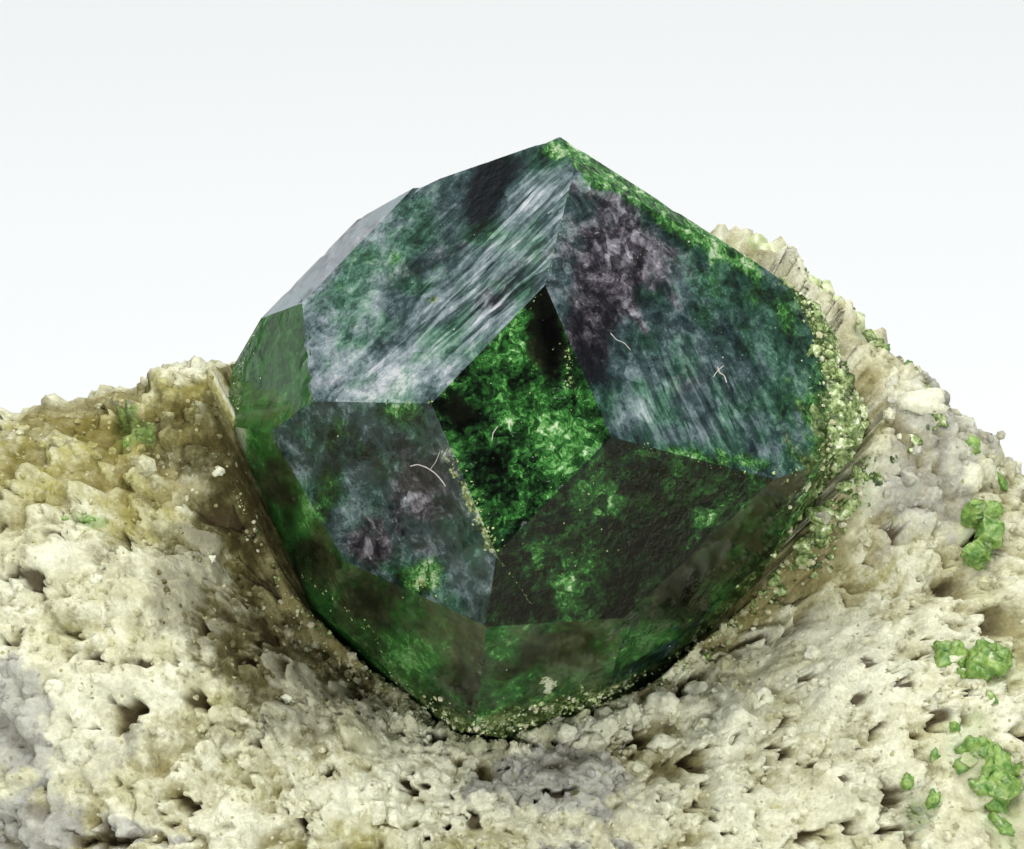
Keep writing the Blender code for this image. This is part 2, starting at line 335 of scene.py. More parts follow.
stains = {  # colour zones of the rock: pixel across and down, half width, half height, turn, strength
    # Brown zones: the rock's own brown, and along the crystal's left side also painted shade in the recess beside the
    # crystal
    "brown": (
        (205, 445, 44, 46, 0, 0.7), (232, 505, 44, 70, -10, 1.0), (190, 560, 56, 50, 0, 0.8),
        (200, 612, 80, 46, 10, 0.9),
        (256, 640, 70, 56, 20, 1.0), (316, 672, 50, 40, 30, 1.0), (290, 712, 66, 32, 10, 0.8),
        (352, 722, 36, 18, 20, 0.6),
        (150, 455, 60, 24, 0, 0.2), (60, 600, 60, 16, 0, 0.3), (130, 560, 50, 30, 0, 0.4),
        (190, 400, 40, 24, -10, 0.25), (820, 540, 14, 40, 25, 0.4), (700, 690, 30, 12, -35, 0.7),
        (950, 480, 22, 26, 0, 0.35),
        (884, 800, 26, 28, 0, 0.5), (930, 590, 26, 18, 0, 0.3), (905, 640, 14, 20, 30, 0.35),
        (860, 720, 12, 30, 20, 0.4),
        (780, 700, 16, 12, 0, 0.3), (925, 760, 16, 20, 0, 0.4), (760, 770, 20, 10, 0, 0.3),
        (820, 610, 18, 10, -30, 0.3),
        (250, 560, 16, 40, 20, 1.0), (290, 620, 30, 14, 40, 0.8), (340, 680, 40, 12, 40, 0.7),
    ),
    "grey": (
        (8, 700, 36, 60, 0, 1.0), (20, 835, 70, 34, 0, 0.9), (100, 760, 44, 24, 0, 0.5), (556, 775, 60, 36, 0, 0.9),
        (640, 800, 50, 30, 0, 0.5), (925, 470, 60, 90, 20, 0.7), (700, 790, 40, 26, 0, 0.4),
        (985, 560, 30, 40, 0, 0.5),
        (280, 600, 20, 30, 0, 0.4), (860, 470, 22, 60, -15, 0.5), (300, 790, 20, 40, 0, 0.2),
        (560, 720, 40, 14, 0, 0.5),
        (150, 400, 50, 12, -10, 0.4),
    ),
    "ochre": (
        (40, 470, 70, 50, 0, 0.8), (30, 425, 50, 14, 0, 0.7), (120, 430, 60, 30, -20, 0.9),
        (150, 525, 60, 40, 0, 0.8),
        (200, 400, 60, 40, -10, 0.9), (110, 490, 60, 30, 0, 0.6), (230, 560, 60, 60, 0, 0.6),
        (180, 600, 70, 40, 0, 0.5), (100, 640, 70, 24, 0, 0.45), (350, 840, 60, 22, 0, 0.7),
        (250, 790, 40, 24, 0, 0.5),
        (470, 840, 50, 16, 0, 0.6), (890, 580, 30, 26, 0, 0.6), (700, 740, 30, 30, 0, 0.35),
        (830, 720, 50, 40, 0, 0.4),
        (340, 760, 60, 24, 10, 0.5), (260, 640, 30, 16, 0, 0.5), (215, 700, 30, 10, 0, 0.5),
        (780, 800, 40, 30, 0, 0.4),
        (960, 700, 30, 60, 0, 0.3), (600, 830, 40, 16, 0, 0.4),
    ),
    "green": (
        (92, 520, 20, 9, 10, 0.9), (126, 440, 9, 14, 20, 0.8), (972, 545, 12, 22, 0, 0.7), (700, 778, 8, 6, 0, 0.5),
        (968, 745, 26, 40, -15, 0.6), (1000, 660, 30, 26, 0, 0.6), (1000, 800, 30, 40, -30, 0.7),
        (905, 780, 10, 16, 0, 0.5),
        (858, 470, 22, 70, 0, 0.6), (840, 540, 20, 30, 0, 0.4),
    ),
    "white": (
        (400, 790, 120, 60, 0, 0.8), (560, 745, 60, 26, 0, 0.8), (720, 730, 60, 40, 0, 0.9),
        (850, 680, 70, 60, 0, 0.7),
        (880, 760, 50, 50, 0, 0.4), (120, 690, 90, 24, 6, 0.6), (240, 820, 60, 40, 0, 0.6),
        (640, 725, 40, 20, 0, 1.2),
        (890, 500, 40, 50, 0, 0.6), (960, 620, 40, 40, 0, 0.5), (760, 800, 60, 40, 0, 0.7), (60, 560, 50, 16, 8, 0.5),
        (930, 400, 36, 22, 20, 0.8), (60, 720, 60, 30, 0, 0.5), (500, 800, 100, 40, 0, 0.6),
    ),
}
hollowSpots = onRock([h[:2] for h in hollows])
swellingSpots = onRock([s[:2] for s in swellings])
stainSpots = {tone: onRock([s[:2] for s in spots]) for tone, spots in stains.items()}


# How deep each point is in an upright oval round a spot, 1 at its middle and 0 at its edge, with the edge made uneven
def ovalShare(points, spot, halfWidth, halfHeight, turn, uneven):
    off = points - spot
    across, upward, depth = off @ toRight, off @ toUp, off @ toCamera
    c, s = math.cos(math.radians(turn)), math.sin(math.radians(turn))
    wide, high = halfWidth * view["pixel"], halfHeight * view["pixel"]
    far = ((across * c - upward * s) / wide) ** 2 + ((across * s + upward * c) / high) ** 2
    far = np.sqrt(far + (depth / (1.8 * max(wide, high))) ** 2)
    return np.clip(1 - far * uneven, 0, 1)


# Sizes and heights in millimetres, and the salt of each noise; knobs also have how steep their sides are, how low
# the ground between them is, and how high the lowest knob is as a share of the highest
relief = {
    "swell": 1.5, "swellHeight": 0.20,
    "knobs": ((0.66, 0.30, 1.9, 0, 0.15, 100), (0.27, 0.24, 2.0, -0.5, 0.1, 200)),
    "finest": (0.115, 0.062, 2.0, -0.4, 0.1, 300),
    "grit": 0.06, "gritHeight": 0.018,
    "poreDepth": 0.30, "hollowDepth": 3.0,
}


# Knobs round random seeds: one less the squared distance to the nearest seed, cut off below, times the knob's height
def knobs(points, size, height, steep, ground, least, salt):
    near, own = seedNoise(points / size, salt)
    return height * np.clip(1 - near * near * steep, ground, 1) * (least + (1 - least) * own)


# Height of the rock's relief over its smooth skin, in millimetres, and how deep in a pore or hollow each point is,
# the share that the finish paints nearly black as painted shade: broad swells, knobbly grains of three sizes, pores
# of two sizes, and the photograph's own hollows and swellings
def rockRelief(points, finest):
    bend = np.stack([roughNoise(points / 0.55, 40 + 5 * k, 2) for k in range(3)], axis=1)
    bent = points + 0.13 * bend
    high = relief["swellHeight"] * roughNoise(points / relief["swell"], 3, 4)
    for knob in relief["knobs"]:
        high += knobs(bent, *knob)
    if finest:
        high += knobs(points, *relief["finest"])
        high += relief["gritHeight"] * roughNoise(points / relief["grit"], 330, 2)
    near, own = seedNoise(bent / 1.15, 400)
    poreShade = np.where(own < 0.5, rise(0.30 + 0.25 * own - near, 0, 0.26), 0)
    near, own = seedNoise(bent / 0.42, 500)
    fine = np.where(own < 0.42, rise(0.34 + 0.3 * own - near, 0, 0.3), 0)
    patchy = rise(roughNoise(points / 1.9, 560, 2), -0.25, 0.45)
    poreShade = np.maximum(poreShade * (0.45 + 0.55 * patchy), 0.85 * fine * (0.35 + 0.65 * patchy))
    high -= relief["poreDepth"] * poreShade
    uneven = 1 + 0.75 * roughNoise(points / 0.17, 600, 3)
    curled = points + 0.10 * np.stack([roughNoise(points / 0.22, 640 + 5 * k, 2) for k in range(3)], axis=1)
    deep = np.zeros(len(points))
    for (_, _, wide, tall, turn), spot in zip(hollows, hollowSpots):
        near = np.flatnonzero(np.linalg.norm(points - spot, axis=1) < 0.06 * max(wide, tall) + 0.2)
        share = rise(ovalShare(curled[near], spot, wide * 1.35, tall * 1.35, turn, uneven[near]), 0, 0.75)
        high[near] -= share * min(wide, tall) * relief["hollowDepth"] * view["pixel"]
        deep[near] = np.maximum(deep[near], share)
    for (_, _, wide, tall, turn, lift), spot in zip(swellings, swellingSpots):
        high += lift * rise(ovalShare(points, spot, wide * 1.3, tall * 1.3, turn, 1 + 0.3 * (uneven - 1)), 0, 0.8)
    # Pores and hollows together: the share that the rock's finish paints nearly black, as painted shade in them
    return high, np.maximum(poreShade * 0.7, deep)


# Points below the floor drawn back to it along their lines from the rock's centre, as a level saw cut would leave
def levelBase(points):
    off = points - rockCentre
    drop = np.maximum(-off[:, 2], 1e-6)
    return rockCentre + off * np.minimum(rockCentre[2] / drop, 1)[:, None]


# The room in front of the crystal: flat sides through the camera and round the crystal's outline, both the
# photograph's and its own, and a back made of the faces that are turned away from the camera. The rock keeps out of
# it, so that the crystal is seen whole
seenOutline = (
    (560, 137), (792, 275), (830, 335), (850, 380), (862, 430), (858, 470), (822, 530), (760, 600), (700, 655),
    (640, 695), (500, 737), (430, 715), (345, 660), (297, 612), (262, 550), (235, 490), (229, 465), (229, 430),
    (236, 370), (256, 320), (330, 240), (413, 188),
)


# Flat sides through the camera and each edge of an outline, facing outwards
def sidesOf(outline):
    lines = sightLines(outline)
    sides = np.cross(lines, np.roll(lines, -1, axis=0))
    sides /= np.linalg.norm(sides, axis=1)[:, None]
    return sides * -np.sign(sides @ lines.mean(axis=0))[:, None]


crystalCorners = pixelsOf(np.array([corner.co[:] for corner in crystalNode.data.vertices]) / mm)
ownOutline = crystalCorners[geometry.convex_hull_2d([Vector(corner) for corner in crystalCorners])]
roomSides = np.concatenate([sidesOf(seenOutline), sidesOf(ownOutline)])
turnedAway = crystalNormals @ toCamera < 0
roomNormals = np.concatenate([roomSides, crystalNormals[turnedAway]])
roomReach = np.concatenate([roomSides @ eye - rock["overlap"], crystalReach[turnedAway] + rock["socket"]])


# How far along directions from the rock's centre a shape bounded by flat faces begins and ends
def crossing(heading, normals, reach):
    facing = heading @ normals.T
    reach = reach - rockCentre @ normals.T
    goIn = np.where(facing < 0, reach / np.where(facing < 0, facing, -1), -1e9).max(axis=1)
    goOut = np.where(facing > 0, reach / np.where(facing > 0, facing, 1), 1e9).min(axis=1)
    return goIn, goOut


boxLimit = np.array(cadBox) / mm + np.array(((-0.12, -0.12, 0.0), (0.12, 0.12, 0.12)))


# The rock's surface along directions: skin and relief, drawn back to the socket wall where the crystal is in the way
def rockSurface(ways, finest=True, sunk=0.0):
    points = ways * skinFar(ways)[:, None] + rockCentre
    points += ways * softLumps(points)[:, None]
    plain = np.linalg.norm(points - rockCentre, axis=1)
    high, poreShade = rockRelief(points, finest)
    # How low each point lies in the relief: the finish paints the low places darker as painted shade and the high
    # ones whiter as painted light
    low = 1 - rise(high, -0.20, 0.30)
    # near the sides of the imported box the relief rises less, so that it stays close inside them
    for axis in range(2):
        for side in (0, 1):
            lean = ways[:, axis] * (2 * side - 1)
            room = (boxLimit[side][axis] - points[:, axis]) * (2 * side - 1) / np.maximum(lean, 0.15)
            room = np.where(lean > 0.15, room, 9.0)
            high = room - 0.08 * np.logaddexp(0, (room - high) / 0.08)
    points += ways * (high - 0.10 + sunk)[:, None]
    slip = np.stack([roughNoise(points / 0.3, 700 + 5 * k, 2) for k in range(3)], axis=1)
    points += 0.05 * slip
    off = points - rockCentre
    far = np.linalg.norm(off, axis=1)
    heading = off / far[:, None]
    goIn, goOut = crossing(heading, roomNormals, roomReach)
    inRoom = (goIn > 0) & (goIn < goOut) & (far > goIn) & (plain < goOut + rock["cliff"])
    ragged = 0.07 * np.clip(0.4 + roughNoise((rockCentre + heading * far[:, None]) / 0.22, 760, 3), 0, 1.5)
    far = np.where(inRoom, goIn - ragged, far)
    goIn, goOut = crossing(heading, crystalNormals, crystalReach + rock["socket"])
    blocked = (goIn < goOut) & (far > goIn) & (plain < goOut + rock["cliff"])
    wall = (rockCentre + heading * np.maximum(goIn, 0)[:, None])[blocked]
    near, own = seedNoise(wall / 0.25, 740)
    dent = (0.6 + 0.4 * roughNoise(wall / 0.4, 720, 4)) * (1 - 0.75 * own * np.clip(1 - near * near * 1.6, 0, 1))
    far[blocked] = goIn[blocked] - rock["dents"] * np.clip(dent, 0, 1)
    return levelBase(rockCentre + heading * far[:, None]), poreShade, low, blocked


# Strengths of the given tones at points, from the colour zones with noisy borders
def rockTints(points, wanted=("brown", "grey", "ochre", "green")):
    uneven = 1 + 0.8 * roughNoise(points / 0.7, 800, 4)
    layers = []
    for tone in wanted:
        layer = np.zeros(len(points))
        for (_, _, wide, tall, turn, strength), spot in zip(stains[tone], stainSpots[tone]):
            share = ovalShare(points, spot, wide * 1.5, tall * 1.5, turn, uneven)
            layer = np.maximum(layer, strength * rise(share, 0, 0.6))
        layers.append(layer)
    return np.stack(layers, axis=1)


# The rock's marks on a piece: its colour zones, browner by the crystal, partly stain and partly painted shade beside
# it, and greener there, then how deep in a pore each point is (painted shade), how white, and how low in the relief
# (painted shade in the low places and painted light on the high ones)
def paintRock(piece, points, poreShade, low):
    tints = rockTints(points)
    uneven = 0.12 * roughNoise(points / 0.35, 860, 3)
    # Browner near the crystal, more so on its left: partly stain and partly painted shade beside the crystal
    near = 1 - rise(pastCrystal(points) + uneven, 0.05, 0.42)
    leftward = 1 - rise(points[:, 0], -2.5, 1.5)
    tints[:, 0] = np.maximum(tints[:, 0], near * (0.45 + 0.55 * leftward))
    tints[:, 3] = np.maximum(tints[:, 3], near * 0.6)
    paintMarks(piece, "tints", tints)
    white = rockTints(points, ("white",))[:, 0]
    paintMarks(piece, "pores", np.stack([poreShade, white, low, low], axis=1))


# Points of a cube's surface on a whole-numbered lattice, joined at the cube's edges, and its square faces
def cubeLattice(steps):
    a, b = np.meshgrid(np.arange(steps + 1), np.arange(steps + 1), indexing="ij")
    sheets, quads = [], []
    index = np.arange((steps + 1) ** 2).reshape(steps + 1, steps + 1)
    loop = np.stack([index[:-1, :-1], index[1:, :-1], index[1:, 1:], index[:-1, 1:]], axis=-1).reshape(-1, 4)
    for axis in range(3):
        for side in (0, steps):
            sheet = np.empty((steps + 1, steps + 1, 3), int)
            sheet[..., axis] = side
            sheet[..., (axis + 1) % 3] = a
            sheet[..., (axis + 2) % 3] = b
            quads.append((loop if side else loop[:, ::-1]) + len(sheets) * (steps + 1) ** 2)
            sheets.append(sheet.reshape(-1, 3))
    spots, joined = np.unique(np.concatenate(sheets), axis=0, return_inverse=True)
    return spots, joined.ravel()[np.concatenate(quads)]


frontWay = np.array((0.10, -0.74, 0.66))
frontWay /= np.linalg.norm(frontWay)
frontSide = np.cross(frontWay, (0, 0, 1))
frontSide /= np.linalg.norm(frontSide)
frontUp = np.cross(frontSide, frontWay)
wedges = {  # the two finely worked parts of the front: angles covered across and upwards, and squares each way
    "matrix_left": {"across": (-84, 4), "up": (-48, 58), "steps": (292, 330)},
    "matrix_right": {"across": (-4, 84), "up": (-48, 58), "steps": (292, 330)},
}


# Unit directions from two angles, as points on a flat sheet ahead of the rock's centre
def frontWays(across, up):
    a, b = np.tan(np.radians(across * 0.86)), np.tan(np.radians(up))
    ways = frontWay + a[..., None] * frontSide + b[..., None] * frontUp
    return ways / np.linalg.norm(ways, axis=-1)[..., None]


# The two angles of given directions, the reverse of frontWays; behind the centre they come out far off the sheet
def frontAngles(ways):
    ahead = np.maximum(ways @ frontWay, 1e-3)
    return np.degrees(np.arctan(ways @ frontSide / ahead)) / 0.86, np.degrees(np.arctan(ways @ frontUp / ahead))


# The whole rock: directions on a ball, drawn together at the front, then carried out to the surface.
# Under the finely worked wedges it stands a little lower, so that they show
def rockBody():
    spots, quads = cubeLattice(rock["steps"])
    cube = np.tan((spots / rock["steps"] * 2 - 1) * math.pi / 4)
    ways = cube / np.linalg.norm(cube, axis=1)[:, None]
    along = ways @ frontWay
    side = ways - along[:, None] * frontWay
    side /= np.maximum(np.linalg.norm(side, axis=1), 1e-9)[:, None]
    angle = 2 * np.arctan(np.tan(np.arccos(np.clip(along, -1, 1)) / 2) / rock["focus"])
    ways = np.cos(angle)[:, None] * frontWay + np.sin(angle)[:, None] * side
    across, up = frontAngles(ways)
    under = rise(82 - np.abs(across), 0, 5) * rise(56 - up, 0, 4) * rise(up + 46, 0, 4)
    points, poreShade, low = rockSurface(ways, finest=False)[:3]
    points = levelBase(points - ways * (0.22 * under)[:, None])
    body = meshPiece("matrix_body", points, [quads])
    paintRock(body, points, poreShade, low)
    return body


# A finely worked wedge of the rock: a sheet of the surface whose rim runs down to one point near the rock's centre
def rockWedge(name, wedge):
    wide, tall = wedge["steps"]
    a, b = np.meshgrid(np.linspace(*wedge["across"], wide + 1), np.linspace(*wedge["up"], tall + 1), indexing="ij")
    ways = frontWays(a, b).reshape(-1, 3)
    edge = np.minimum(np.minimum(a - wedge["across"][0], wedge["across"][1] - a),
                      np.minimum(b - wedge["up"][0], wedge["up"][1] - b)).ravel()
    sunk = -0.45 * (1 - rise(edge, 0, 3))
    points, poreShade, low = rockSurface(ways, sunk=sunk)[:3]
    index = np.arange((wide + 1) * (tall + 1)).reshape(wide + 1, tall + 1)
    quads = np.stack([index[:-1, :-1], index[1:, :-1], index[1:, 1:], index[:-1, 1:]], axis=-1).reshape(-1, 4)
    border = np.concatenate([index[:-1, 0], index[-1, :-1], index[:0:-1, -1], index[0, :0:-1]])
    hub = np.full(len(border), len(points))
    fan = np.stack([np.roll(border, -1), border, hub], axis=1)
    points = np.concatenate([points, [rockCentre + (0, 0, 0.4)]])
    piece = meshPiece(name, points, [quads, fan])
    paintRock(piece, points, np.append(poreShade, 0), np.append(low, 0))
    return piece


print("rock")
rockPieces = [rockBody()] + [rockWedge(name, wedge) for name, wedge in wedges.items()]

# Loose shapes that many grains share, each about 1 across from middle to corner
golden = (1 + 5 ** 0.5) / 2
lumpShape = (
    np.array([(0, s, t * golden) for s in (-1, 1) for t in (-1, 1)]
             + [(s, t * golden, 0) for s in (-1, 1) for t in (-1, 1)]
             + [(t * golden, 0, s) for s in (-1, 1) for t in (-1, 1)], float) / math.sqrt(1 + golden ** 2)
)
rhombShape = np.array(
    [(x, y, z) for x in (-1, 1) for y in (-1, 1) for z in (-1, 1)]
    + [(2 * s, 0, 0) for s in (-1, 1)] + [(0, 2 * s, 0) for s in (-1, 1)] + [(0, 0, 2 * s) for s in (-1, 1)], float,
) / 2


# The triangles that close a small convex shape round its middle, found with Blender's hull
def hullFaces(shape):
    work = bmesh.new()
    for spot in shape:
        work.verts.new(spot)
    work.verts.ensure_lookup_table()
    bmesh.ops.convex_hull(work, input=work.verts)
    work.verts.index_update()
    faces = np.array([[v.index for v in f.verts] for f in work.faces if len(f.verts) == 3])
    work.free()
    middle = shape[faces].mean(axis=1)
    across = np.cross(shape[faces[:, 1]] - shape[faces[:, 0]], shape[faces[:, 2]] - shape[faces[:, 0]])
    flip = np.einsum("ij,ij->i", across, middle) < 0
    faces[flip] = faces[flip][:, ::-1]
    return faces


lumpFaces, rhombFaces = hullFaces(lumpShape), hullFaces(rhombShape)


# Many copies of one shape in one mesh: each turned by a random quaternion, stretched, roughened, and put in its place
def grainCloud(name, seats, sizes, shape, faces, seed, stretch=0.35, rough=0.12, smooth=False):
    chance = np.random.default_rng(seed)
    count = len(seats)
    q = chance.normal(size=(count, 4))
    q /= np.linalg.norm(q, axis=1)[:, None]
    w, x, y, z = q.T
    turn = np.stack([
        1 - 2 * (y * y + z * z), 2 * (x * y - z * w), 2 * (x * z + y * w),
        2 * (x * y + z * w), 1 - 2 * (x * x + z * z), 2 * (y * z - x * w),
        2 * (x * z - y * w), 2 * (y * z + x * w), 1 - 2 * (x * x + y * y),
    ], axis=1).reshape(-1, 3, 3)
    stretched = shape[None] * (1 + stretch * chance.uniform(-1, 1, (count, 1, 3)))
    stretched = stretched * (1 + rough * chance.uniform(-1, 1, (count, len(shape), 1)))
    points = np.einsum("nij,nkj->nki", turn, stretched) * sizes[:, None, None] + seats[:, None, :]
    faceRows = (faces[None] + np.arange(count)[:, None, None] * len(shape)).reshape(-1, 3)
    return meshPiece(name, points.reshape(-1, 3), [faceRows], smooth)


# Crumbs on the rock
crumbs = {"small": 6200, "large": 500, "seed": 5}


# Grains at random places of the front, more of them small than large, sunk part of their size into the surface
def rockCrumbs():
    chance = np.random.default_rng(crumbs["seed"])
    pieces = []
    for name, count, sizes in (("matrix_crumbs_small", crumbs["small"], (0.022, 0.075)),
                               ("matrix_crumbs_large", crumbs["large"], (0.07, 0.17))):
        across = chance.uniform(-80, 80, count * 2)
        up = chance.uniform(-44, 56, count * 2)
        ways = frontWays(across, up)
        points, poreShade, low, blocked = rockSurface(ways)
        keep = np.flatnonzero(~blocked & (poreShade < 0.25))[:count]
        size = sizes[0] + (sizes[1] - sizes[0]) * chance.uniform(0, 1, len(keep)) ** 2.5
        points = points[keep] - ways[keep] * (size * 0.25)[:, None]
        roomy = (points > boxLimit[0] + size[:, None]) & (points < boxLimit[1] - size[:, None])
        keep = (pastCrystal(points) > size * 1.1) & roomy.all(axis=1)
        points, size = points[keep], size[keep]
        piece = grainCloud(name, points, size, lumpShape, lumpFaces, crumbs["seed"] + count, 0.3, 0.2)
        flat = np.zeros(len(points) * len(lumpShape))
        paintRock(piece, np.repeat(points, len(lumpShape), axis=0), flat, flat + 0.3)
        pieces.append(piece)
    return pieces


print("crumbs")
rockPieces += rockCrumbs()

# The crystal
crystal = {"bevel": 0.022, "slice": 0.13, "chip": 0.03, "hidden": (0.35, 0.20, 0.20, 0.15)}
# What each face shows: its outward direction, the way its streaks run in the picture in degrees, then
# the silvery blue painted reflection, green (painted light through it), brown (a painted reflection of the rock) and
# dark (painted shade), and last how streaky it is
faceLooks = {
    "front": ((-0.04, -0.89, 0.45), 80, (0.00, 0.32, 0.00, 0.12), 0.0),
    "upper left": ((-0.65, -0.15, 0.75), 43, (0.92, 0.15, 0.00, 0.10), 0.20),
    "upper right": ((0.77, -0.32, 0.55), -64, (0.78, 0.20, 0.00, 0.20), 0.20),
    "lower left": ((-0.81, -0.58, -0.09), -75, (0.62, 0.18, 0.00, 0.12), 0.05),
    "lower right": ((0.60, -0.73, -0.31), 60, (0.00, 0.36, -0.50, 0.60), 0.0),
    "upper left edge": ((-0.70, 0.08, 0.71), 43, (1.25, -1.00, 0.00, 0.00), -1.0),
    "left": ((-0.87, -0.12, 0.48), 60, (0.08, 0.60, -0.30, 0.20), -0.8),
    "lower left edge": ((-0.87, -0.40, -0.29), -62, (0.00, 0.55, 0.60, 0.00), -0.7),
    "lower right edge": ((0.67, -0.51, -0.54), 38, (0.04, 0.20, 0.30, 0.45), -0.5),
    "bottom right": ((0.41, -0.65, -0.64), 5, (0.02, 0.42, 0.60, -0.10), -0.5),
    "bottom left": ((-0.70, -0.54, -0.47), -30, (0.02, 0.40, 0.80, -0.10), -0.6),
    "bottom left rim": ((-0.68, -0.38, -0.62), -40, (0.00, 0.50, 0.10, 0.00), -0.5),
    "right edge": ((0.85, -0.11, 0.52), -60, (0.25, 0.30, 0.20, 0.00), 0.3),
    "right rim": ((0.89, -0.06, 0.44), -60, (0.05, 0.80, 0.10, 0.00), 0.2),
    "right lower rim": ((0.80, -0.36, -0.48), 45, (0.00, 0.55, 0.40, 0.00), 0.1),
    "top right edge": ((0.62, 0.07, 0.78), -33, (0.00, 0.95, 0.00, 0.00), 0.1),
}
